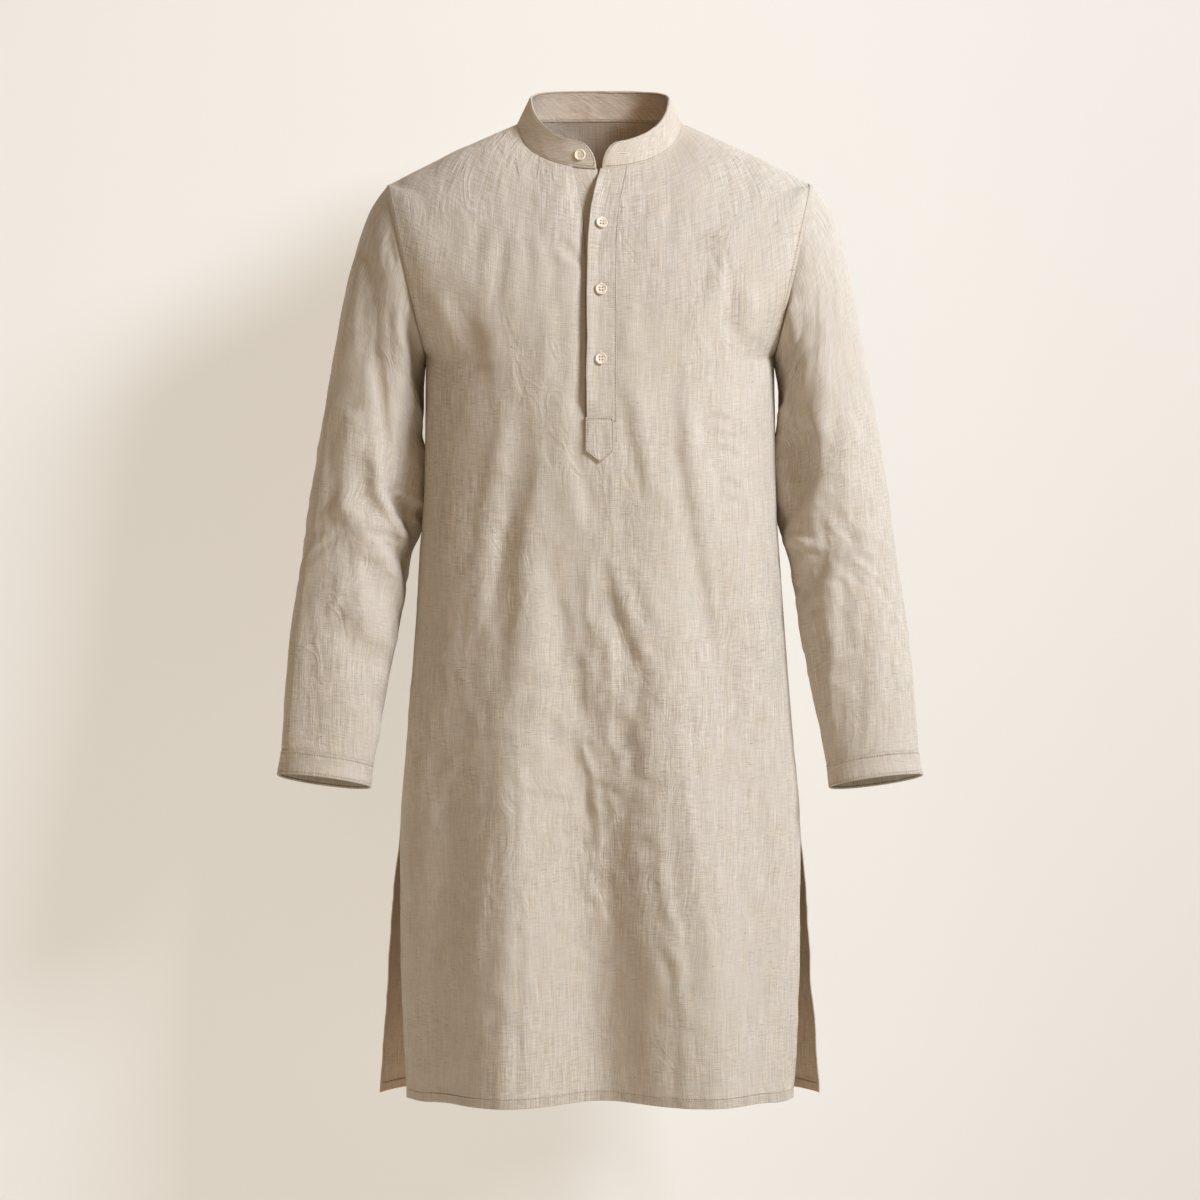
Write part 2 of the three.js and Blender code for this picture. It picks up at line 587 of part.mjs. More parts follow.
const levels = bodyLevels();
const tipRow = SHOULDER_ROWS;
const armpitRow = SHOULDER_ROWS + ARMHOLE_ROWS;
const slitRow = levels.indexOf(SLIT_LEVEL);
const frontGrid = levels.map((level) => frontTurns(level).map((turn) => bodySpot("front", level, turn)));
const backGrid = levels.map((level) => backTurns().map((turn) => bodySpot("back", level, turn)));
const sleeveGrids = {
  left: sleeveGrid("left", 0, SLEEVE_LENGTH, SLEEVE_RINGS),
  right: mirrored(sleeveGrid("right", 0, SLEEVE_LENGTH, SLEEVE_RINGS)),
};
const band = bandGrid();

const edgeSpots = (grid, from, to) => grid.slice(from, to + 1).flatMap((row) => [row[0], row.at(-1)]);

// Sewn edges share one normal, so the walls meet face to face there.
function shareNormals(spots) {
  const sums = new Map();
  const keyOf = ({ point }) => point.toArray().map((value) => Math.round(value * 20)).join();
  for (const spot of spots) {
    const sum = sums.get(keyOf(spot)) ?? new THREE.Vector3();
    sums.set(keyOf(spot), sum.add(spot.normal));
  }
  for (const spot of spots) {
    spot.normal = sums.get(keyOf(spot)).clone().normalize();
  }
}

const armholeMiddle = armholePoint(0).add(armholePoint(180)).multiplyScalar(0.5);
const armholeAxis = new THREE.Vector3().subVectors(armholePoint(0), armholePoint(180));
armholeAxis.cross(new THREE.Vector3(0, -1, 0)).normalize();

// The armhole plane's normal, pointing down the arm on the spot's side of the body.
function armAxisAt(spot) {
  const axis = armholeAxis.clone();
  axis.x *= Math.sign(spot.point.x);
  return axis;
}

// At an armhole the normals lean to the armhole's plane, and neither wall ends beyond it:
// the outward side is 1 for the body's edges and -1 for the sleeves'.
function leanToArmhole(spot, outward) {
  const radial = new THREE.Vector3(Math.abs(spot.point.x), spot.point.y, spot.point.z);
  radial.sub(armholeMiddle).normalize();
  radial.x *= Math.sign(spot.point.x);
  const normal = spot.normal.add(radial);
  const beyond = normal.dot(armAxisAt(spot));
  if (beyond * outward < 0) {
    normal.addScaledVector(armAxisAt(spot), -beyond);
  }
  normal.normalize();
}

function moveAlongArm(spot, distance) {
  spot.point.addScaledVector(armAxisAt(spot), distance);
}

function moveTowards(spot, other, distance) {
  const way = other.point.clone().sub(spot.point).normalize();
  spot.point.addScaledVector(way, distance);
}

// Each seam is opened by half a gap on each of its two pieces.
function openSeams() {
  const half = SEAM_GAP / 2;
  for (const grid of [frontGrid, backGrid, band]) {
    const starts = grid[0].map((spot) => ({ spot, next: grid[1][grid[0].indexOf(spot)] }));
    starts.forEach(({ spot, next }) => moveTowards(spot, next, half));
  }
  for (const [grid, forward] of [[frontGrid, -half], [backGrid, half]]) {
    for (const spot of [...edgeSpots(grid, 0, tipRow), ...edgeSpots(grid, armpitRow, slitRow)]) {
      spot.point.y += forward;
    }
    edgeSpots(grid, tipRow, armpitRow).forEach((spot) => moveAlongArm(spot, -half));
  }
  for (const spot of [...sleeveGrids.left[0], ...sleeveGrids.right[0]]) {
    moveAlongArm(spot, half);
  }
}

for (const [from, to] of [[0, tipRow], [armpitRow, slitRow]]) {
  shareNormals([...edgeSpots(frontGrid, from, to), ...edgeSpots(backGrid, from, to)]);
}
shareNormals([...frontGrid[0], ...backGrid[0], ...band[0]]);
for (const grid of [frontGrid, backGrid]) {
  edgeSpots(grid, tipRow, armpitRow).forEach((spot) => leanToArmhole(spot, 1));
}
[...sleeveGrids.left[0], ...sleeveGrids.right[0]].forEach((spot) => leanToArmhole(spot, -1));
openSeams();

// ---------- pieces ----------

const kurta = new THREE.Group();

function addPiece(name, geometry, finish) {
  const mesh = new THREE.Mesh(geometry, new THREE.MeshStandardMaterial(finish));
  mesh.name = name;
  kurta.add(mesh);
  return mesh;
}

const cutEndRow = levels.indexOf(CUT_END_LEVEL);
const inCut = (row, column) => row < cutEndRow && (column === HALF_COLUMNS || column === HALF_COLUMNS + 1);
addPiece("front_panel", wall(frontGrid, { thickness: PANEL_WALL, open: inCut }), LINEN);
addPiece("back_panel", wall(backGrid, { thickness: PANEL_WALL }), LINEN);

function cuffGrid(arm) {
  const grid = sleeveGrid(arm, SLEEVE_LENGTH + SEAM_GAP, SLEEVE_LENGTH + CUFF_LENGTH, 2);
  return arm === "left" ? grid : mirrored(grid);
}

for (const arm of ["left", "right"]) {
  addPiece(`sleeve_${arm}`, wall(sleeveGrids[arm], { thickness: PANEL_WALL, closed: true }), LINEN);
  addPiece(`cuff_${arm}`, wall(cuffGrid(arm), { thickness: BAND_WALL, lift: 0.3, closed: true }), LINEN);
}

addPiece("collar_band", wall(band, { thickness: BAND_WALL }), LINEN);

// A strip over the rows of the front between two edges that may change with the level.
function stripGrid(fromLevel, toLevel, edgesAt, columns) {
  const inside = levels.filter((level) => level > fromLevel + 2 && level < toLevel - 2);
  return [fromLevel, ...inside, toLevel].map((level) => {
    const [start, end] = edgesAt(level);
    return Array.from({ length: columns + 1 }, (_, column) => {
      const x = THREE.MathUtils.lerp(start, end, column / columns);
      return bodySpot("front", level, turnAt("front", level, x));
    });
  });
}

const overEdges = (level) => [PLACKET.overFree + spreadAt(level), PLACKET.overSewn + spreadAt(level) * 0.85];
const underEdges = (level) => [cutEdges(level)[0] - STRIP_LAP, PLACKET.underFree - spreadAt(level) * 1.08];
const overLift = SEAM_GAP + STRIP_WALL;
const underLift = -PANEL_WALL - SEAM_GAP - 0.1;
const overGrid = stripGrid(STRIP_START_LEVEL, OVER_END_LEVEL, overEdges, 2);
const underGrid = stripGrid(STRIP_START_LEVEL, UNDER_END_LEVEL, underEdges, 2);
addPiece("placket_over", wall(overGrid, { thickness: STRIP_WALL, lift: overLift }), LINEN);
addPiece("placket_under", wall(underGrid, { thickness: STRIP_WALL, lift: underLift }), LINEN);

function tailGrid() {
  const corners = [
    { x: TAIL.left, z: TAIL.cornerZ },
    { x: TAIL.tipX, z: TAIL.tipZ },
    { x: TAIL.right, z: TAIL.cornerZ },
  ];
  const rows = 3;
  return Array.from({ length: rows + 1 }, (_, row) =>
    corners.map((corner) => {
      const z = THREE.MathUtils.lerp(TAIL.topZ, corner.z, row / rows);
      const level = frontLevelAt(corner.x, z);
      return bodySpot("front", level, turnAt("front", level, corner.x));
    }));
}

addPiece("placket_tail", wall(tailGrid(), { thickness: STRIP_WALL, lift: overLift }), LINEN);

// ---------- buttons ----------

function solidOf(geometry) {
  const bare = geometry.clone();
  bare.deleteAttribute("normal");
  bare.deleteAttribute("uv");
  const merged = mergeVertices(bare, 1e-4);
  return new wasm.Manifold(new wasm.Mesh({
    numProp: 3,
    vertProperties: new Float32Array(merged.attributes.position.array),
    triVerts: new Uint32Array(merged.index.array),
  }));
}

function geometryOf(solid) {
  const mesh = solid.getMesh();
  const geometry = new THREE.BufferGeometry();
  geometry.setAttribute("position", new THREE.BufferAttribute(mesh.vertProperties, 3));
  geometry.setIndex(new THREE.BufferAttribute(mesh.triVerts, 1));
  geometry.computeVertexNormals();
  return geometry;
}

// Disc along +Y, standing on y = 0, with its rim raised round a sunk middle.
function buttonGeometry() {
  const radius = BUTTON_DIAMETER / 2;
  const profile = [
    [0, 0],
    [0.72 * radius, 0],
    [radius, 0.35 * BUTTON_THICKNESS],
    [radius, 0.75 * BUTTON_THICKNESS],
    [0.9 * radius, BUTTON_THICKNESS],
    [0.72 * radius, 0.95 * BUTTON_THICKNESS],
    [0.6 * radius, 0.66 * BUTTON_THICKNESS],
    [0, 0.66 * BUTTON_THICKNESS],
  ];
  const disc = new THREE.LatheGeometry(profile.map(([x, y]) => new THREE.Vector2(x, y)), 24);
  let solid = solidOf(disc);
  const holeRadius = THREAD_HOLE_DIAMETER / 2;
  for (const [sideX, sideZ] of [[-1, -1], [1, -1], [1, 1], [-1, 1]]) {
    const hole = new THREE.CylinderGeometry(holeRadius, holeRadius, 3 * BUTTON_THICKNESS, 8);
    hole.translate(sideX * THREAD_HOLE_OFFSET, 0, sideZ * THREAD_HOLE_OFFSET);
    solid = solid.subtract(solidOf(hole));
  }
  return geometryOf(solid);
}

function addButton(name, { point, normal }, lift) {
  const button = addPiece(name, buttonGeometry(), BUTTON_SHELL);
  button.position.copy(point).addScaledVector(normal, lift);
  const across = new THREE.Vector3(1, 0, 0).addScaledVector(normal, -normal.x).normalize();
  const up = new THREE.Vector3().crossVectors(across, normal);
  button.quaternion.setFromRotationMatrix(new THREE.Matrix4().makeBasis(across, normal, up));
}

PLACKET_BUTTONS.forEach(({ x, z }, place) => {
  const level = frontLevelAt(x, z);
  const spot = bodySpot("front", level, turnAt("front", level, x));
  addButton(`button_${place + 1}`, spot, overLift + SEAM_GAP);
});
const collarAngle = bandAngleAt(COLLAR_BUTTON.x, COLLAR_BUTTON.height);
addButton("button_collar", bandSpot(collarAngle, COLLAR_BUTTON.height), SEAM_GAP);

export default kurta;
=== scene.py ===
"""Looks of a long-sleeved linen kurta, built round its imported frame.

Lengths in the tables and fields are millimetres in the part's own frame: +Z up, the wearer faces
-Y, +X is the wearer's left side, and the origin is the centre of the neck base. MM turns them into
metres when a mesh is made. A drop is a distance below the origin, and a level is the drop of a row
of the body's cloth at the middle of the front.
"""

import logging
import math
from dataclasses import dataclass, field
from enum import Enum

import bpy
import numpy as np
from mathutils import Matrix, Vector
from numpy.typing import NDArray

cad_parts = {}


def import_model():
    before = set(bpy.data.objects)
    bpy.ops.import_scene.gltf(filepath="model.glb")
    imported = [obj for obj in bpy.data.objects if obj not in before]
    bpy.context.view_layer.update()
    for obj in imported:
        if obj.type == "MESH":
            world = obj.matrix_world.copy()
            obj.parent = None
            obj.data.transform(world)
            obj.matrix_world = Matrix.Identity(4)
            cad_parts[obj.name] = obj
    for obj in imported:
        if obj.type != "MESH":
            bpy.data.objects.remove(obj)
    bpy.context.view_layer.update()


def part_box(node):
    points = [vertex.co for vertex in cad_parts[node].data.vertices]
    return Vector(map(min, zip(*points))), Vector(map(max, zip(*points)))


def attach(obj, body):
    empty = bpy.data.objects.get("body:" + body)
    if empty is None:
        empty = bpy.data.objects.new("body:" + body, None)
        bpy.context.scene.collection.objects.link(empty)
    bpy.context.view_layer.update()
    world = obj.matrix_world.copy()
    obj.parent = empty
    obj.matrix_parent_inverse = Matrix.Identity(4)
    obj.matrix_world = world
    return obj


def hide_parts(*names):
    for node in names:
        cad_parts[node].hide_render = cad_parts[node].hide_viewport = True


Array = NDArray[np.float64]
LOG = logging.getLogger("kurta")
MM = 0.001
CLOTH_UV = "Cloth"
SEAM_MARK = "Seam"
INSIDE_SHADE_MARK = "Inside"
FAR = 30.0
THREAD_PITCH = 0.00062
STITCH_PITCH = 0.0027


class Face(Enum):
    """The two faces of the garment."""

    FRONT = "front"
    BACK = "back"


class Arm(Enum):
    """The two sleeves, by the sign of their X."""

    LEFT = 1
    RIGHT = -1


# ---------- curves and fields ----------


def smoothstep(value: Array, low: float, high: float) -> Array:
    """A step that rises from 0 at low to 1 at high with level ends: 3 t squared less 2 t cubed."""
    t = np.clip((value - low) / (high - low), 0.0, 1.0)
    return t * t * (3.0 - 2.0 * t)


def bell(distance: Array, width: float | Array) -> Array:
    """A hump of height 1: e to the minus square of distance over width."""
    return np.exp(-np.square(distance / width))


def soft_power(cosine: Array, power: Array) -> Array:
    """A power of a cosine whose slope stays finite where the cosine is zero."""
    soften = 0.1

    def raised(value: Array) -> Array:
        """The softened power, before it is scaled to run from 0 to 1."""
        return np.power(value * value + soften * soften, power / 2.0)

    zero, one = raised(np.zeros_like(cosine)), raised(np.ones_like(cosine))
    return (raised(cosine) - zero) / (one - zero)


def unit(vectors: Array) -> Array:
    """The vectors scaled to length 1 along their last axis."""
    return vectors / np.maximum(np.linalg.norm(vectors, axis=-1, keepdims=True), 1e-12)


def follow(rows: tuple, key: str, column: str, at: Array) -> Array:
    """Smooth value of one column of a table whose rows rise by their key.

    A cubic through each pair of rows, with the slope at a row taken from its two neighbours.

    Args:
        rows: Table rows, sorted by key.
        key: Name of the sorted column.
        column: Name of the column that is read.
        at: Key values to read at.

    Returns:
        The column's value at each key value.
    """
    keys = np.array([getattr(row, key) for row in rows], float)
    values = np.array([getattr(row, column) for row in rows], float)
    last = len(rows) - 1
    before = np.maximum(np.arange(last + 1) - 1, 0)
    after = np.minimum(np.arange(last + 1) + 1, last)
    slopes = (values[after] - values[before]) / (keys[after] - keys[before])
    low = np.clip(np.searchsorted(keys, at, side="left") - 1, 0, last - 1)
    span = keys[low + 1] - keys[low]
    t = np.clip((at - keys[low]) / span, 0.0, 1.0)
    blend = t * t * (3.0 - 2.0 * t)
    leave = t * (1.0 - t) ** 2 * span * slopes[low]
    arrive = t * t * (1.0 - t) * span * slopes[low + 1]
    return values[low] + (values[low + 1] - values[low]) * blend + leave - arrive


def cloth_noise(across: Array, along: Array, seed: int, octaves: int = 3) -> Array:
    """Seeded noise from -1 to 1: random values on a square lattice, joined by smooth steps.

    Each octave has half the size and half the weight of the one before.

    Args:
        across: First coordinate, in lattice cells.
        along: Second coordinate, in lattice cells.
        seed: Seed of the lattice.
        octaves: Number of layers.

    Returns:
        The noise at each point.
    """
    generator = np.random.default_rng(seed)
    size = 64
    total, weights = np.zeros(np.broadcast(across, along).shape), 0.0
    for octave in range(octaves):
        lattice = generator.random((size, size)) * 2.0 - 1.0
        u, v = across * 2.0**octave, along * 2.0**octave
        i, j = np.floor(u).astype(int), np.floor(v).astype(int)
        s, t = smoothstep(u - i, 0.0, 1.0), smoothstep(v - j, 0.0, 1.0)
        corner = [lattice[(i + a) % size, (j + b) % size] for a in (0, 1) for b in (0, 1)]
        value = (corner[0] * (1 - t) + corner[1] * t) * (1 - s) + (corner[2] * (1 - t) + corner[3] * t) * s
        total = total + value * 0.5**octave
        weights += 0.5**octave
    return total / weights


def ladder(length: float, step: float, fine: tuple[float, ...] = (0.12, 0.4, 0.9, 1.8)) -> Array:
    """Shares from 0 to 1 along a length: close together at both ends, then a step apart.

    Args:
        length: The length that the shares divide.
        step: Spacing between the ends.
        fine: Distances of the close places from each end.

    Returns:
        The shares, rising.
    """
    start = np.array((0.0,) + fine)
    count = max(int(round((length - 2 * fine[-1]) / step)), 2)
    middle = np.linspace(fine[-1], length - fine[-1], count + 1)[1:-1]
    return np.concatenate([start, middle, length - start[::-1]]) / length


def resampled(line: Array, spacing: float) -> Array:
    """A line of points again, at equal spacing along its length."""
    steps = np.linalg.norm(np.diff(line, axis=0), axis=1)
    along = np.concatenate([[0.0], np.cumsum(steps)])
    at = np.linspace(0.0, along[-1], max(int(round(along[-1] / spacing)), 1) + 1)
    return np.stack([np.interp(at, along, line[:, axis]) for axis in range(line.shape[1])], axis=1)


def rounded_line(path: tuple[tuple[float, float], ...], pieces: int = 8) -> Array:
    """A smooth line through a few points: a Catmull-Rom cubic between each pair."""
    points = np.array(path, float)
    if len(points) == 2:
        return points[0] + np.linspace(0.0, 1.0, pieces + 1)[:, None] * (points[1] - points[0])
    padded = np.vstack([2 * points[0] - points[1], points, 2 * points[-1] - points[-2]])
    t = np.linspace(0.0, 1.0, pieces + 1)[:-1, None]
    spans = []
    for index in range(len(points) - 1):
        a, b, c, d = padded[index : index + 4]
        spans.append(0.5 * (2 * b + (c - a) * t + (2 * a - 5 * b + 4 * c - d) * t**2 + (3 * b - a - 3 * c + d) * t**3))
    return np.vstack([*spans, points[-1:]])


def distance_to(points: Array, line: Array) -> Array:
    """Distance from each point to the nearest point of a closely spaced line."""
    flat = points.reshape(-1, 3)
    best = np.full(len(flat), np.inf)
    for spot in line:
        best = np.minimum(best, np.linalg.norm(flat - spot, axis=1))
    return best.reshape(points.shape[:-1])


@dataclass(frozen=True)
class Crease:
    """One flank of a soft fold, along a line in X and drop.

    Across the line the cloth falls by step towards the wearer's left, or rises where step is below
    zero, and it comes back over a few widths on both sides. A level line falls upward instead.
    """

    path: tuple[tuple[float, float], ...]
    width: float
    step: float
    spread: float = 3.0

    def height(self, x: Array, drop: Array) -> Array:
        """Height of the flank: a smooth step inside a wide bell, dying out at both ends.

        Args:
            x: X of each point.
            drop: Drop of each point.

        Returns:
            The height at each point.
        """
        line = rounded_line(self.path)
        reach = 2.2 * self.spread * self.width
        low, high = line.min(0) - reach, line.max(0) + reach
        near = (x > low[0]) & (x < high[0]) & (drop > low[1]) & (drop < high[1])
        total = np.zeros(x.shape)
        spots = np.stack([x[near], drop[near]], axis=1)
        best, across, along = np.full(len(spots), np.inf), np.zeros(len(spots)), np.zeros(len(spots))
        lengths = np.linalg.norm(np.diff(line, axis=0), axis=1)
        starts = np.concatenate([[0.0], np.cumsum(lengths)])
        for index, (start, length) in enumerate(zip(line[:-1], lengths)):
            course = (line[index + 1] - start) / length
            offset = spots - start
            run = np.clip(offset @ course, 0.0, length)
            distance = np.linalg.norm(offset - run[:, None] * course, axis=1)
            closer = distance < best
            best = np.where(closer, distance, best)
            side = course[1] * offset[:, 0] - course[0] * offset[:, 1]
            across = np.where(closer, side, across)
            along = np.where(closer, starts[index] + run, along)
        share = along / starts[-1]
        taper = smoothstep(share, 0.0, 0.25) * (1.0 - smoothstep(share, 0.75, 1.0))
        shape = np.tanh(across / self.width) * bell(best, self.spread * self.width)
        total[near] = -0.5 * self.step * taper * shape
        return total


CREASE_GAIN = 1.45


def wandered(x: Array, drop: Array, seed: int) -> tuple[Array, Array]:
    """X and drop shifted by noise, so that creases run unevenly: 4 mm over 40 mm, 1.6 mm over 13 mm."""
    along = 4.0 * cloth_noise(x / 40.0, drop / 40.0, seed) + 1.6 * cloth_noise(x / 13.0, drop / 13.0, seed + 50, 2)
    down = 6.0 * cloth_noise(x / 46.0, drop / 46.0, seed + 51)
    return x + along, drop + down


def crumpled(x: Array, drop: Array, seed: int) -> Array:
    """Small sharp-crested folds: 1 less twice the size of noise, at a slant one way and the other."""
    first = cloth_noise(x / 24.0 + drop / 75.0, drop / 46.0 - x / 80.0, seed, 2)
    second = cloth_noise(x / 17.0 - drop / 60.0, drop / 30.0 + x / 70.0, seed + 60, 2)
    return 0.65 * (1.0 - 2.6 * np.abs(first)) + 0.4 * (1.0 - 2.6 * np.abs(second)) - 0.4


def crease_height(creases: tuple[Crease, ...], x: Array, drop: Array) -> Array:
    """Sum of the heights of several creases."""
    total = np.zeros(x.shape)
    for crease in creases:
        total += crease.height(x, drop)
    return total


def creases(*rows: tuple) -> tuple[Crease, ...]:
    """Creases from rows of a width, a step and the points of the line in X and drop."""
    return tuple(Crease(tuple(points), width, step) for width, step, *points in rows)


def table(kind: type, *rows: tuple) -> tuple:
    """Rows of plain values as records of one kind."""
    return tuple(kind(*row) for row in rows)


# ---------- the body's form ----------

SEAM_LEVELS = {"neck": 54.0, "tip": 140.0, "armpit": 268.0, "slit": 754.0, "hem": 1048.0}


@dataclass(frozen=True)
class TorsoRow:
    """Centre lines of the body at a level: Y of both faces, height of the back, falls and rounds.

    A fall says how fast a row drops from its side to its centre, and round 2 is an ellipse in plan.
    """

    level: float
    front_y: float
    back_y: float
    back_z: float
    front_fall: float = 1.0
    back_fall: float = 1.0
    front_round: float = 2.3
    back_round: float = 2.3


@dataclass(frozen=True)
class SideRow:
    """Side line of each face at a level."""

    level: float
    front_x: float
    back_x: float
    front_y: float = 0.0
    back_y: float = 0.0


@dataclass(frozen=True)
class BodyFold:
    """A long fold: it starts, peaks and ends at three levels, along three X places."""

    start: float
    peak: float
    end: float
    x: tuple[float, float, float]
    left: float
    right: float
    rise: float


TORSO = table(
    TorsoRow,
    (54, -70, 68, 10.6, 0.7, 0.4, 2, 2.5),
    (75, -83, 84, -14, 1.6, 1.2, 2, 2.4),
    (97, -94, 97, -45, 2.2, 1.9, 2.05, 2.3),
    (118, -102, 105, -78, 2.3, 2.1, 2.1, 2.2),
    (140, -109, 110, -110, 2.3, 2.2, 2.15, 2.2),
    (180, -118, 115, -158, 1.5, 1.5, 2.2, 2.2),
    (225, -124, 116, -211, 1.1, 1.1, 2.25, 2.25),
    (268, -126, 113, -262),
    (340, -124, 107, -338, 1.0, 1.0, 2.35),
    (450, -117, 100, -450, 1.0, 1.0, 2.35),
    (590, -112, 104, -590),
    (754, -112, 112, -754),
    (900, -113, 117, -900),
    (1048, -112, 120, -1048),
)

SIDES = table(
    SideRow,
    (268, 188, 188),
    (340, 188.6, 188.6),
    (420, 190, 190),
    (500, 195.5, 195.5),
    (600, 203, 203),
    (680, 209.6, 209.6),
    (754, 215.6, 215.6),
    (830, 214.9, 223.4, -7, 7),
    (940, 213.6, 230.5, -17, 14),
    (1048, 207.5, 239, -29, 20),
)

BODY_FOLDS = {
    Face.FRONT: table(
        BodyFold,
        (360, 1048, 1600, (-74, -95, -101), 58, 50, 31),
        (360, 1048, 1600, (40, 93, 118), 62, 56, 33),
        (430, 1048, 1600, (-40, -17, 0), 42, 48, -25),
        (330, 430, 560, (-110, -108, -106), 18, 16, -4),
        (380, 560, 760, (112, 146, 164), 22, 20, -5),
        (480, 980, 1600, (-156, -164, -168), 26, 40, -8),
        (560, 1048, 1600, (150, 156, 160), 26, 30, -7),
        (300, 400, 520, (70, 66, 60), 26, 26, 3),
    ),
    Face.BACK: table(
        BodyFold,
        (420, 1048, 1600, (70, 82, 96), 56, 48, 15),
        (390, 1048, 1600, (-44, -66, -92), 54, 44, 17),
        (440, 1048, 1600, (18, 12, -4), 44, 48, -22),
        (330, 470, 640, (4, 10, 18), 30, 34, -5),
        (560, 860, 1600, (150, 158, 166), 24, 22, -5),
    ),
}

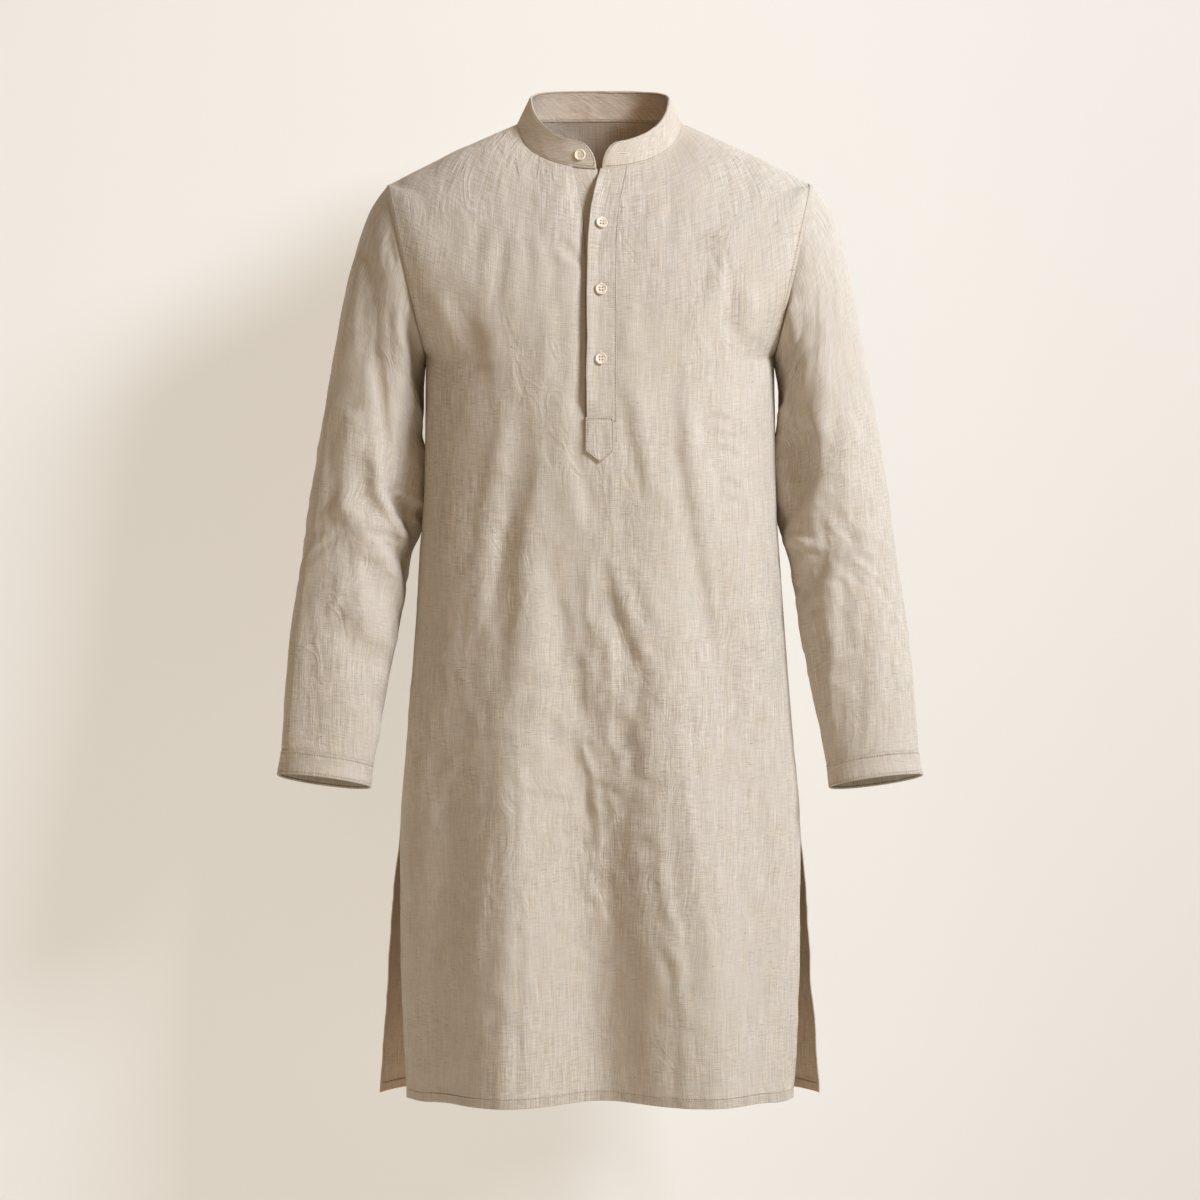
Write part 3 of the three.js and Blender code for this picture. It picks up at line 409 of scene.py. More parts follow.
# Creases of the front's cloth, in X and drop.
FRONT_CREASES = creases(
    # from the collar and shoulders down the chest
    (9, 4.2, (-163, 180), (-154, 217), (-143, 262)),
    (7.5, -3.0, (-132, 212), (-125, 251), (-112, 285)),
    (3.6, 2.4, (-51, 138), (-33, 154), (-14, 170)),
    (3.6, -2.2, (-40, 127), (-24, 146), (-8, 166)),
    (3.4, 0.9, (-62, 122), (-58, 150), (-50, 184)),
    (3.2, -0.8, (-74, 118), (-71, 160), (-72, 205)),
    (3.4, 0.9, (-86, 115), (-84, 165), (-88, 240)),
    (3.0, -0.9, (-97, 112), (-97, 150), (-103, 215)),
    (3.4, 1.0, (-108, 112), (-110, 160), (-118, 220)),
    (3.6, -1.0, (-120, 108), (-124, 140), (-130, 190)),
    (4.0, 1.2, (-134, 106), (-140, 135), (-146, 168)),
    (5, 1.0, (-92, 240), (-88, 270), (-86, 310)),
    (5, 1.0, (-50, 200), (-46, 250), (-50, 300)),
    (4.5, -0.9, (-60, 190), (-62, 240), (-66, 290)),
    (8, -3.6, (108, 112), (128, 147), (116, 182), (108, 212)),
    (7, 2.0, (131, 158), (130, 200), (126, 240)),
    (7, -3.8, (149, 182), (149, 210), (146, 242)),
    (4, 1.4, (48, 108), (62, 96), (74, 90)),
    (3.5, -1.4, (64, 116), (70, 100), (80, 92)),
    (5, 1.1, (84, 104), (90, 132), (88, 176)),
    (6, -3.2, (22, 218), (21, 240), (23, 264)),
    (6, 1.0, (42, 170), (40, 210), (40, 250)),
    # waist and the tops of the long folds
    (6.5, 4.4, (-91, 294), (-102, 400), (-118, 501), (-132, 570)),
    (5.5, -2.0, (-110, 320), (-127, 416), (-142, 500)),
    (8.5, -4.4, (-67, 302), (-75, 402), (-88, 476), (-94, 558), (-99, 650)),
    (6.5, 3.4, (-32, 276), (-28, 354), (-18, 419), (-9, 456)),
    (7.5, 3.6, (-64, 452), (-58, 520), (-51, 590), (-38, 655)),
    (6.5, -4.6, (20, 280), (36, 345), (43, 374), (45, 420)),
    (6.5, -4.8, (88, 262), (88, 338), (99, 419), (116, 517), (126, 600)),
    (9, 3.4, (98, 292), (119, 390), (132, 470)),
    (5, -3.4, (6, 462), (18, 517), (24, 556)),
    (5.5, -2.8, (25, 470), (50, 530), (56, 556)),
    (4.5, -1.6, (-6, 440), (-14, 480), (-16, 520)),
    # short level wrinkles at the waist and the wearer's left side
    (2.6, -1.8, (117, 313), (131, 315), (146, 322)),
    (2.6, -1.8, (119, 333), (134, 336), (148, 343)),
    (2.8, -1.9, (123, 351), (137, 354), (151, 361)),
    (2.6, -1.6, (130, 387), (141, 389), (152, 396)),
    (2.6, -1.3, (124, 406), (138, 408), (152, 413)),
    (3, -1.1, (-152, 262), (-134, 265), (-112, 262)),
    # the crumpled valley between the two long folds
    (4.5, -2.4, (-42, 506), (-36, 540), (-31, 565)),
    (5, -3.8, (-21, 560), (-15, 600), (-20, 636)),
    (4.5, -3.6, (-34, 642), (-16, 685), (-4, 745), (-4, 775)),
    (5.5, 3.6, (-4, 512), (16, 566), (18, 625), (6, 700)),
    (3.6, 2.8, (-27, 646), (-9, 687), (4, 745), (9, 796)),
    (3.6, 2.4, (36, 650), (22, 722), (7, 775)),
    (3.6, 2.2, (-17, 794), (3, 834), (14, 866)),
    (4, 1.4, (-24, 700), (-20, 750), (-22, 800)),
    (5, -4.0, (11, 484), (31, 554), (47, 594), (40, 630)),
    (7, -3.8, (40, 626), (39, 664), (48, 712)),
    (4, -1.8, (2, 560), (0, 600), (-4, 640)),
    (4, 1.6, (28, 600), (32, 640), (26, 690)),
    (4, 1.2, (-60, 600), (-56, 640), (-60, 690)),
    (4.5, -1.6, (10, 790), (20, 830), (32, 868)),
    (2.4, -1.5, (38, 700), (50, 703), (60, 704)),
    (2.6, -1.3, (-12, 702), (6, 708), (22, 712)),
    (2.6, -1.1, (26, 762), (44, 764), (58, 770)),
    (2.6, -1.0, (-20, 830), (0, 834), (20, 842)),
    # beside the long folds and down to the hem
    (2.8, -1.3, (-122, 661), (-100, 658), (-76, 656)),
    (2.6, -1.3, (-90, 714), (-56, 720), (-20, 727)),
    (3.4, -3.2, (-94, 620), (-89, 692), (-86, 741), (-83, 806), (-81, 938), (-80, 1150)),
    (3.6, -2.6, (54, 700), (61, 790), (69, 878), (79, 905), (82, 950), (86, 1150)),
    (8, -2.4, (-110, 620), (-110, 790), (-109, 880), (-107, 1150)),
    (12, -1.6, (-128, 500), (-134, 640), (-140, 780), (-146, 1000)),
    (5, 2.6, (-82, 690), (-81, 790), (-78, 880), (-76, 965)),
    (5, 1.8, (-104, 722), (-119, 834), (-142, 950)),
    (4.5, 1.8, (-166, 776), (-158, 842), (-152, 934)),
    (6, -1.4, (-146, 800), (-138, 860), (-134, 930)),
    (13, -4.4, (24, 600), (30, 770), (36, 865), (42, 960), (48, 1100)),
    (6, 2.6, (62, 706), (71, 800), (83, 890), (97, 966)),
    (3.0, 2.2, (60, 846), (68, 870), (79, 898)),
    (3.0, 1.8, (64, 815), (75, 845), (90, 878)),
    (3.0, 1.6, (56, 880), (64, 900), (72, 926)),
    (3.6, 2.4, (94, 600), (96, 700), (109, 790), (127, 930)),
    (6, -2.8, (133, 662), (134, 685), (133, 712)),
    (8, -1.6, (140, 760), (142, 785), (140, 812)),
    (5.5, 1.8, (162, 690), (163, 760), (166, 840)),
    (6, -1.4, (170, 520), (176, 580), (178, 650)),
    (6, 1.4, (-186, 420), (-184, 500), (-186, 600)),
    (8, -1.8, (-164, 560), (-166, 640), (-172, 730)),
    (7, 0.8, (-146, 580), (-144, 660), (-150, 740)),
)

BACK_CREASES = creases(
    (6, 1.6, (-60, 60), (-66, 120), (-62, 190)),
    (6, -1.5, (48, 64), (56, 120), (52, 176)),
    (4, -1.0, (-86, 90), (-90, 140), (-88, 200)),
    (4, 1.0, (84, 92), (88, 150), (84, 210)),
    (7, 2.6, (-120, 110), (-128, 160), (-134, 225)),
    (7, -2.8, (122, 112), (132, 170), (136, 232)),
    (7, -3.4, (-150, 150), (-146, 195), (-140, 250)),
    (7, 3.4, (152, 148), (147, 200), (139, 255)),
    (3.4, -2.2, (-150, 300), (-128, 312), (-104, 318)),
    (3.2, -1.8, (-146, 340), (-120, 350), (-92, 352)),
    (3.4, 2.2, (148, 296), (126, 310), (100, 318)),
    (3.2, 1.8, (144, 352), (120, 362), (96, 364)),
    (8, -3.0, (-30, 250), (-20, 320), (-26, 400)),
    (8, 2.8, (26, 270), (34, 340), (30, 430)),
    (3.4, -1.8, (-40, 400), (-14, 418), (16, 420)),
    (3.4, -1.6, (-24, 440), (6, 452), (34, 448)),
    (7, 3.4, (-96, 420), (-104, 520), (-112, 640)),
    (7, -3.6, (100, 430), (112, 540), (118, 660)),
    (6, -3.2, (-40, 520), (-50, 600), (-48, 690)),
    (6, 3.0, (38, 520), (44, 610), (56, 700)),
    (5, -3.4, (6, 560), (0, 640), (6, 730)),
    (5, 2.8, (-14, 640), (4, 690), (-2, 760)),
    (5, -2.6, (18, 720), (10, 790), (16, 860)),
    (6, 3.0, (-150, 640), (-156, 760), (-160, 880)),
    (6, -2.8, (140, 700), (148, 800), (152, 920)),
    (5, 2.4, (-20, 830), (-10, 880), (-18, 950)),
    (6, 2.8, (50, 800), (60, 880), (66, 960)),
    (6, -3.2, (-78, 760), (-84, 850), (-88, 950)),
    (6, -3.0, (100, 780), (108, 860), (112, 950)),
    (7, 1.6, (180, 620), (186, 700), (190, 800)),
    (2.8, -1.2, (-60, 700), (-20, 708), (10, 704)),
    (2.8, -1.1, (10, 650), (40, 656), (70, 652)),
)


class BodyForm:
    """The body's surface as functions of a level and a turn, from -1 at the right side to 1 at the left."""

    shoulder_point = np.array([88.5, 0.0, 0.0])
    shoulder_tip = np.array([230.0, 4.0, -67.0])
    armpit = np.array([188.0, 0.0, -250.0])
    shoulder_arch = 2.0
    armhole_half_depth = 75.0
    corner_reach = 30.0
    edge_start = 0.55

    def armhole_line(self, arm: Arm, count: int = 160) -> Array:
        """The armhole as a closed line of points: an ellipse from shoulder tip to armpit."""
        angle = np.linspace(0.0, 2 * math.pi, count + 1)[:, None]
        middle, half = (self.shoulder_tip + self.armpit) / 2, (self.shoulder_tip - self.armpit) / 2
        line = middle + half * np.cos(angle)
        line[:, 1:2] -= self.armhole_half_depth * np.sin(angle)
        line[:, 0] *= arm.value
        return line

    def side_point(self, face: Face, level: Array) -> Array:
        """Where rows end at the wearer's left: shoulder seam, armhole, side seam or slit edge."""
        tip, armpit_level, slit = SEAM_LEVELS["tip"], SEAM_LEVELS["armpit"], SEAM_LEVELS["slit"]
        share = np.clip((level - SEAM_LEVELS["neck"]) / (tip - SEAM_LEVELS["neck"]), 0.0, 1.0)[..., None]
        shoulder = self.shoulder_point + (self.shoulder_tip - self.shoulder_point) * share
        shoulder[..., 2:] += self.shoulder_arch * np.sin(math.pi * share)
        angle = math.pi * np.clip((level - tip) / (armpit_level - tip), 0.0, 1.0)[..., None]
        middle, half = (self.shoulder_tip + self.armpit) / 2, (self.shoulder_tip - self.armpit) / 2
        armhole = middle + half * np.cos(angle)
        forward = -1.0 if face is Face.FRONT else 1.0
        armhole[..., 1:2] += forward * self.armhole_half_depth * np.sin(angle)
        down = np.clip((level - armpit_level) / (slit - armpit_level), 0.0, 1.0)
        x = follow(SIDES, "level", f"{face.value}_x", level)
        y = np.where(level <= slit, 0.0, follow(SIDES, "level", f"{face.value}_y", level))
        z = (self.armpit[2] + armpit_level) * (1.0 - down) - level
        side = np.stack([x, y, z], axis=-1)
        upper = np.where((level <= tip)[..., None], shoulder, armhole)
        return np.where((level <= armpit_level)[..., None], upper, side)

    def rounded_side(self, face: Face, level: Array) -> Array:
        """The side line with its corners rounded: a weighted mean of nine places along it."""
        reach = np.minimum(self.corner_reach, level - SEAM_LEVELS["neck"])
        taps = 4
        total, weights = 0.0, 0.0
        for tap in range(-taps, taps + 1):
            weight = taps + 1 - abs(tap)
            near = np.minimum(level + reach * tap / taps, SEAM_LEVELS["hem"])
            total = total + self.side_point(face, near) * weight
            weights += weight
        return total / weights

    def row(self, face: Face, level: Array) -> dict[str, Array]:
        """What shapes the row at each level: its side, correction, centre, sweep, round and fall."""
        side = self.rounded_side(face, level)
        centre_y = follow(TORSO, "level", f"{face.value}_y", level)
        back_z = follow(TORSO, "level", "back_z", level)
        return {
            "side": side,
            "correction": self.side_point(face, level) - side,
            "centre_y": centre_y,
            "centre_z": -level if face is Face.FRONT else back_z,
            "sweep": np.arccos(np.clip(side[..., 1] / centre_y, 0.0, 1.0)),
            "round": follow(TORSO, "level", f"{face.value}_round", level),
            "fall": follow(TORSO, "level", f"{face.value}_fall", level),
        }

    def plain_point(self, face: Face, level: Array, turn: Array) -> Array:
        """Points before folding: each row is an ellipse-like arc that drops from side to centre."""
        level, turn = np.broadcast_arrays(level, turn)
        row = self.row(face, level)
        side, sweep = row["side"], row["sweep"]
        angle = np.minimum(np.abs(turn), 1.0) * sweep
        across = np.power(np.sin(angle) / np.sin(sweep), 2.0 / row["round"])
        inward = np.clip((np.cos(angle) - np.cos(sweep)) / (1.0 - np.cos(sweep)), 0.0, 1.0)
        edge = smoothstep(np.abs(turn), self.edge_start, 1.0)
        depth = np.power(inward, 2.0 / row["round"])
        drop = soft_power(inward, row["fall"])
        x = np.sign(turn) * (side[..., 0] * across + row["correction"][..., 0] * edge)
        y = side[..., 1] + (row["centre_y"] - side[..., 1]) * depth + row["correction"][..., 1] * edge
        z = side[..., 2] + (row["centre_z"] - side[..., 2]) * drop + row["correction"][..., 2] * edge
        return np.stack([x, y, z], axis=-1)

    def plain_normal(self, face: Face, level: Array, turn: Array) -> Array:
        """Outward normals of the plain surface, from differences along turn and level."""
        level, turn = np.broadcast_arrays(level, turn)
        around = self.plain_point(face, level, np.minimum(turn + 0.01, 1.0))
        around = around - self.plain_point(face, level, np.maximum(turn - 0.01, -1.0))
        down = self.plain_point(face, level + 2.0, turn) - self.plain_point(face, level - 2.0, turn)
        outward = -1.0 if face is Face.FRONT else 1.0
        return unit(np.cross(around, down)) * outward

    def turn_at(self, face: Face, level: Array, x: Array) -> Array:
        """Turn at which each row passes an X."""
        row = self.row(face, level)
        across = np.minimum(np.abs(x) / row["side"][..., 0], 1.0)
        swung = np.arcsin(np.power(across, row["round"] / 2.0) * np.sin(row["sweep"]))
        return np.sign(x) * swung / row["sweep"]

    def fold_rise(self, face: Face, level: Array, x: Array, turn: Array) -> Array:
        """Rise of the long folds: bells across X whose centres drift with the level."""
        hem = SEAM_LEVELS["hem"]
        rise = np.zeros(np.broadcast(level, x).shape)
        for fold in BODY_FOLDS[face]:
            run = np.clip((level - fold.start) / (hem - fold.start), 0.0, 1.0)
            top, middle, bottom = fold.x
            centre = (top + (middle - top) * run) * (1 - run) + (middle + (bottom - middle) * run) * run
            reach = np.where(x < centre, fold.left, fold.right)
            grow = smoothstep(level, fold.start, fold.peak)
            fade = 1.0 - smoothstep(level, fold.peak, fold.end)
            rise = rise + fold.rise * grow * fade * bell(x - centre, reach * (0.55 + 0.45 * grow))
        return rise * smoothstep(1.0 - np.abs(turn), 0.0, 0.16)

    def hem_sag(self, face: Face, level: Array, x: Array) -> Array:
        """How much lower the front hem hangs over its two outer folds."""
        if face is Face.BACK:
            return np.zeros(np.broadcast(level, x).shape)
        corners = 1.0 - smoothstep(np.abs(x), 185.0, 206.0)
        sag = 2.4 * (1.0 - 2.3 * bell(x - 4.0, 62.0)) * corners
        return sag * smoothstep(level, 850.0, SEAM_LEVELS["hem"])

    def folded(self, face: Face, level: Array, turn: Array) -> tuple[Array, Array]:
        """Points with the long folds, and the normals along which finer shapes are added."""
        level, turn = np.broadcast_arrays(level, turn)
        plain = self.plain_point(face, level, turn)
        normal = self.plain_normal(face, level, turn)
        rise = self.fold_rise(face, level, plain[..., 0], turn)
        points = plain + normal * rise[..., None]
        points[..., 2] -= self.hem_sag(face, level, plain[..., 0])
        return points, normal


BODY = BodyForm()


# ---------- cloth shells ----------


def grid_normals(points: Array, outward: float) -> Array:
    """Normals of a grid of points, from the cross product of its two directions."""
    down = np.gradient(points, axis=0)
    across = np.gradient(points, axis=1)
    return unit(np.cross(across, down)) * outward


def run_along(points: Array) -> Array:
    """Distance along each row of a grid from its first column."""
    steps = np.linalg.norm(np.diff(points, axis=1), axis=-1)
    return np.hstack([np.zeros((len(points), 1)), np.cumsum(steps, axis=1)])


def gap_to_edges(points: Array, sides: str = "top bottom left right") -> Array:
    """Distance of each grid point from the nearest of the named grid edges, along the cloth."""
    down = np.linalg.norm(np.diff(points, axis=0), axis=-1)
    top = np.vstack([np.zeros((1, points.shape[1])), np.cumsum(down, axis=0)])
    left = run_along(points)
    found = {"top": top, "bottom": top[-1:] - top, "left": left, "right": left[:, -1:] - left}
    return np.minimum.reduce([found[side] for side in sides.split()])


@dataclass
class ClothShell:
    """A closed thin wall of cloth from a grid of outer points.

    Attributes:
        name: Name of the piece.
        points: Outer surface, rows by columns by 3.
        normals: Outward normals of the same grid.
        thickness: Wall thickness, of the whole piece or at each grid point.
        gap: Distance of each grid point from the nearest edge that is rolled.
        uv: Cloth coordinates of the grid, in millimetres along the two threads.
        closed: Whether the last column is the first one again.
        missing: Cells that are left out, rows less 1 by columns less 1.
        seam: Signed distance from the nearest stitched line, above zero on the piece's open side.
        inside: How much painted shade the inner face takes: a darker, warmer tone for the shade inside the garment.
    """

    name: str
    points: Array
    normals: Array
    thickness: Array | float
    gap: Array
    uv: Array
    closed: bool = False
    missing: Array | None = None
    seam: Array | float = FAR
    inside: Array | float = 0.0

    def layers(self) -> tuple[Array, Array]:
        """Outer and inner points: near an edge both bend to the middle of the wall as a half ellipse."""
        half = np.broadcast_to(self.thickness, self.gap.shape) / 2.0
        near = np.clip(1.0 - self.gap / np.maximum(half, 1e-6), 0.0, 1.0)
        swell = (half * np.maximum(np.sqrt(1.0 - near**2), 0.1))[..., None]
        middle = self.points - self.normals * half[..., None]
        return middle + self.normals * swell, middle - self.normals * swell

    def build(self) -> bpy.types.Object:
        """Makes the mesh: both layers, and a rim wherever a cell has no neighbour."""
        rows, columns = self.points.shape[:2]
        count = columns - 1 if self.closed else columns
        outer, inner = self.layers()
        vertices = np.concatenate([outer[:, :count].reshape(-1, 3), inner[:, :count].reshape(-1, 3)]) * MM
        layer = rows * count
        i, j = np.meshgrid(np.arange(rows - 1), np.arange(columns - 1), indexing="ij")
        present = np.ones(i.shape, bool) if self.missing is None else ~self.missing
        corner_i = np.stack([i, i + 1, i + 1, i], axis=-1)
        corner_j = np.stack([j, j, j + 1, j + 1], axis=-1)
        index = corner_i * count + corner_j % count
        flat_uv = self.uv[corner_i, corner_j]
        padded = np.pad(present, 1)
        if self.closed:
            padded[:, 0], padded[:, -1] = padded[:, -2], padded[:, 1]
        lone = [~padded[1:-1, :-2], ~padded[2:, 1:-1], ~padded[1:-1, 2:], ~padded[:-2, 1:-1]]
        quads = [index[present], index[present][:, ::-1] + layer]
        coords = [flat_uv[present], flat_uv[present][:, ::-1]]
        for edge, bare in enumerate(lone):
            a, b = edge, (edge + 1) % 4
            rim = present & bare
            start, end = index[rim][:, a], index[rim][:, b]
            quads.append(np.stack([end, start, start + layer, end + layer], axis=-1))
            coords.append(flat_uv[rim][:, [b, a, a, b]])
        faces, uvs = np.concatenate(quads), np.concatenate(coords)
        a, b, c, d = (vertices[faces[:, k]] for k in range(4))
        if np.einsum("ij,ij->i", a, np.cross(b, c) + np.cross(c, d)).sum() < 0:
            faces, uvs = faces[:, ::-1], uvs[:, ::-1]
        # The inner layer takes painted shade by its inside share; the outer layer takes none.
        both = (np.broadcast_to(mark, self.gap.shape)[:, :count].ravel() for mark in (self.seam, self.inside))
        seam, inside = both
        marks = {
            SEAM_MARK: np.clip(np.concatenate([seam, seam]), -FAR, FAR),
            INSIDE_SHADE_MARK: np.concatenate([np.zeros(layer), inside]),
        }
        return mesh_object(self.name, vertices, faces, uvs.reshape(-1, 2) * MM, marks)

    def dressed(self, finishes: "Finishes") -> bpy.types.Object:
        """Makes the piece in linen, in place of the CAD node that it is named after."""
        piece = self.build()
        dress(piece, finishes.linen, (self.name.removesuffix("_cloth"),))
        return piece


def linked(name: str, data: bpy.types.ID) -> bpy.types.Object:
    """A new object with this data, in the scene."""
    thing = bpy.data.objects.new(name, data)
    bpy.context.scene.collection.objects.link(thing)
    return thing


def tube_quads(spans: int, sides: int) -> Array:
    """Quads between the neighbouring rings of a tube, by vertex number."""
    i, j = np.meshgrid(np.arange(spans), np.arange(sides), indexing="ij")
    after = (j + 1) % sides
    corners = [i * sides + j, i * sides + after, (i + 1) * sides + after, (i + 1) * sides + j]
    return np.stack(corners, -1).reshape(-1, 4)


def mesh_object(
    name: str, vertices: Array, faces: Array, uvs: Array | None = None, marks: dict[str, Array] | None = None
) -> bpy.types.Object:
    """Puts vertices and equal-sided faces into a smooth-shaded mesh object at the origin.

    Args:
        name: Name of the object.
        vertices: Points in metres.
        faces: Vertex numbers, one row for each face.
        uvs: Coordinates for each face corner, or None.
        marks: Numbers for each vertex by attribute name, or None.

    Returns:
        The object, linked to the scene.
    """
    used, faces = np.unique(faces, return_inverse=True)
    faces = faces.reshape(-1, faces.shape[-1]) if faces.ndim > 1 else faces.reshape(len(faces) // 4, 4)
    vertices = vertices[used]
    mesh = bpy.data.meshes.new(name)
    sides = faces.shape[1]
    mesh.vertices.add(len(vertices))
    mesh.vertices.foreach_set("co", vertices.astype(np.float32).ravel())
    mesh.loops.add(faces.size)
    mesh.loops.foreach_set("vertex_index", faces.astype(np.int32).ravel())
    mesh.polygons.add(len(faces))
    mesh.polygons.foreach_set("loop_start", np.arange(0, faces.size, sides, dtype=np.int32))
    mesh.polygons.foreach_set("use_smooth", np.ones(len(faces), bool))
    if uvs is not None:
        layer = mesh.uv_layers.new(name=CLOTH_UV)
        layer.data.foreach_set("uv", uvs.astype(np.float32).ravel())
    for label, values in (marks or {}).items():
        mesh.attributes.new(label, "FLOAT", "POINT").data.foreach_set("value", values[used].astype(np.float32))
    mesh.update(calc_edges=True)
    mesh.validate()
    return linked(name, mesh)


@dataclass
class ClothSurface:
    """A finished grid that stitches and trims are laid on."""

    points: Array
    normals: Array

    def at(self, row: Array, column: Array) -> tuple[Array, Array]:
        """Points and normals at fractional rows and columns, blended from the four nearest."""
        rows, columns = self.points.shape[:2]
        row, column = np.clip(row, 0, rows - 1.001), np.clip(column, 0, columns - 1.001)
        i, j = row.astype(int), column.astype(int)
        s, t = (row - i)[:, None], (column - j)[:, None]

        def blend(grid: Array) -> Array:
            """Values of one grid, weighted by how near each of the four points is."""
            upper = grid[i, j] * (1 - t) + grid[i, j + 1] * t
            lower = grid[i + 1, j] * (1 - t) + grid[i + 1, j + 1] * t
            return upper * (1 - s) + lower * s

        return blend(self.points), unit(blend(self.normals))

    def line_at_gap(self, gap: Array, distance: float, rows: Array, from_right: bool) -> tuple[Array, Array]:
        """The line on which a gap grid reaches a distance, one point for each row.

        Args:
            gap: Distances that grow inward from an edge.
            distance: The distance wanted.
            rows: Row numbers to cross.
            from_right: Whether the edge is at the last column.

        Returns:
            Points and normals of the line.
        """
        columns = []
        for row in rows:
            values = gap[row, ::-1] if from_right else gap[row]
            rising = np.maximum.accumulate(values)
            column = np.interp(distance, rising, np.arange(len(values)))
            columns.append(len(values) - 1 - column if from_right else column)
        return self.at(np.asarray(rows, float), np.array(columns))


# ---------- stitches ----------


@dataclass
class StitchRun:
    """Rows of thread stitches, gathered into one joined mesh.

    Attributes:
        name: Name of the piece.
        pitch: Distance from one stitch to the next.
        length: Length of thread that shows in a stitch.
        width: Thread width.
        lift: How far the thread's middle lies above the cloth.
    """

    name: str
    pitch: float = 3.0
    length: float = 2.0
    width: float = 0.62
    lift: float = 0.05
    centres: list = field(default_factory=list)
    courses: list = field(default_factory=list)
    normals: list = field(default_factory=list)

    def add(self, centres: Array, courses: Array, normals: Array) -> None:
        """Adds stitches at the centres. One course and one normal may serve them all."""
        self.centres.append(centres)
        self.courses.append(np.broadcast_to(courses, centres.shape))
        self.normals.append(np.broadcast_to(normals, centres.shape))

    def along(self, line: Array, normals: Array) -> None:
        """Adds a row of stitches along a line of points, with the outward normals there."""
        joined = resampled(np.hstack([line, normals]), self.pitch)
        points, outward = joined[:, :3], unit(joined[:, 3:])
        outward = unit(outward[:-1] + outward[1:])
        self.add((points[:-1] + points[1:]) / 2 + outward * self.lift, unit(np.diff(points, axis=0)), outward)

    def across(self, surface: ClothSurface, row: float, columns: Array) -> None:
        """Adds stitches along one row of a surface's grid."""
        self.along(*surface.at(np.full(len(columns), row), columns))

    def down(self, surface: ClothSurface, rows: Array, column: float) -> None:
        """Adds stitches along one column of a surface's grid."""
        self.along(*surface.at(rows, np.full(len(rows), column)))

    def build(self) -> bpy.types.Object:
        """Makes all the stitches: each a short bent bar of five sections with six sides."""
        centres, courses = np.concatenate(self.centres), np.concatenate(self.courses)
        normals = unit(np.concatenate(self.normals))
        across = unit(np.cross(courses, normals))
        along = np.array([-0.5, -0.4, 0.0, 0.4, 0.5]) * self.length
        swell = np.array([0.25, 0.85, 1.0, 0.85, 0.25]) * self.width / 2
        sink = np.array([-0.28, -0.1, 0.06, -0.1, -0.28]) * self.width * 1.6
        angle = np.arange(6) * math.pi / 3
        middle = centres[:, None, :] + courses[:, None, :] * along[None, :, None]
        ring = middle + normals[:, None, :] * sink[None, :, None]
        vertices = (
            ring[:, :, None, :]
            + across[:, None, None, :] * (swell[:, None] * np.cos(angle))[None, :, :, None]
            + normals[:, None, None, :] * (swell[:, None] * np.sin(angle))[None, :, :, None]
        )
        caps = np.array([[3, 2, 1, 0], [5, 4, 3, 0], [24, 25, 26, 27], [24, 27, 28, 29]])
        faces = np.concatenate([tube_quads(4, 6), caps])
        offsets = np.arange(len(centres))[:, None, None] * 30
        return mesh_object(self.name, vertices.reshape(-1, 3) * MM, (faces + offsets).reshape(-1, 4))


# ---------- finishes ----------
Socket = bpy.types.NodeSocket
Colour = tuple[float, float, float]
VECTOR, COLOUR, NUMBER = "NodeSocketVector", "NodeSocketColor", "NodeSocketFloat"

class Nodes:
    """A short way to add nodes and links to one node tree."""

    def __init__(self, tree: bpy.types.NodeTree) -> None:
        """Keeps the tree."""
        self.tree = tree

    def add(self, kind: str, inputs: dict | None = None, **settings: object) -> bpy.types.Node:
        """Adds a node, sets its properties, and fills its inputs with values or linked sockets."""
        node = self.tree.nodes.new(kind)
        for key, value in settings.items():
            setattr(node, key, value)
        for key, value in (inputs or {}).items():
            if isinstance(value, Socket):
                self.tree.links.new(value, node.inputs[key])
            else:
                node.inputs[key].default_value = value
        return node

    def math(self, operation: str, *values: object) -> Socket:
        """A Math node's result."""
        return self.add("ShaderNodeMath", dict(enumerate(values)), operation=operation).outputs[0]

    def ramp(self, value: object, low: float, high: float, to_low: float = 0.0, to_high: float = 1.0) -> Socket:
        """A value mapped smoothly from one range to another."""
        inputs = {"Value": value, "From Min": low, "From Max": high, "To Min": to_low, "To Max": to_high}
        return self.add("ShaderNodeMapRange", inputs, interpolation_type="SMOOTHSTEP").outputs[0]

    def stretch(self, vector: object, scale: Colour, shift: Colour = (0, 0, 0)) -> Socket:
        """A coordinate scaled along each axis and shifted."""
        inputs = {"Vector": vector, "Scale": scale, "Location": shift}
        return self.add("ShaderNodeMapping", inputs).outputs[0]

    def noise(self, vector: object, detail: float = 2.0, rough: float = 0.5) -> Socket:
        """Noise from 0 to 1 over two coordinates."""
        inputs = {"Vector": vector, "Scale": 1.0, "Detail": detail, "Roughness": rough}
        return self.add("ShaderNodeTexNoise", inputs, noise_dimensions="2D").outputs["Fac"]

    def mix(self, share: object, first: object, second: object, mode: str = "MIX") -> Socket:
        """A colour between two colours."""
        node = self.tree.nodes.new("ShaderNodeMix")
        node.data_type, node.blend_type = "RGBA", mode
        for socket, value in zip((node.inputs[0], node.inputs[6], node.inputs[7]), (share, first, second)):
            if isinstance(value, Socket):
                self.tree.links.new(value, socket)
            else:
                socket.default_value = value if isinstance(value, float) else (*value, 1.0)
        return node.outputs[2]


def new_material(name: str) -> tuple[bpy.types.Material, Nodes]:
    """A material with an empty node tree, and its node helper."""
    made = bpy.data.materials.new(name)
    made.use_nodes = True
    made.node_tree.nodes.clear()
    return made, Nodes(made.node_tree)


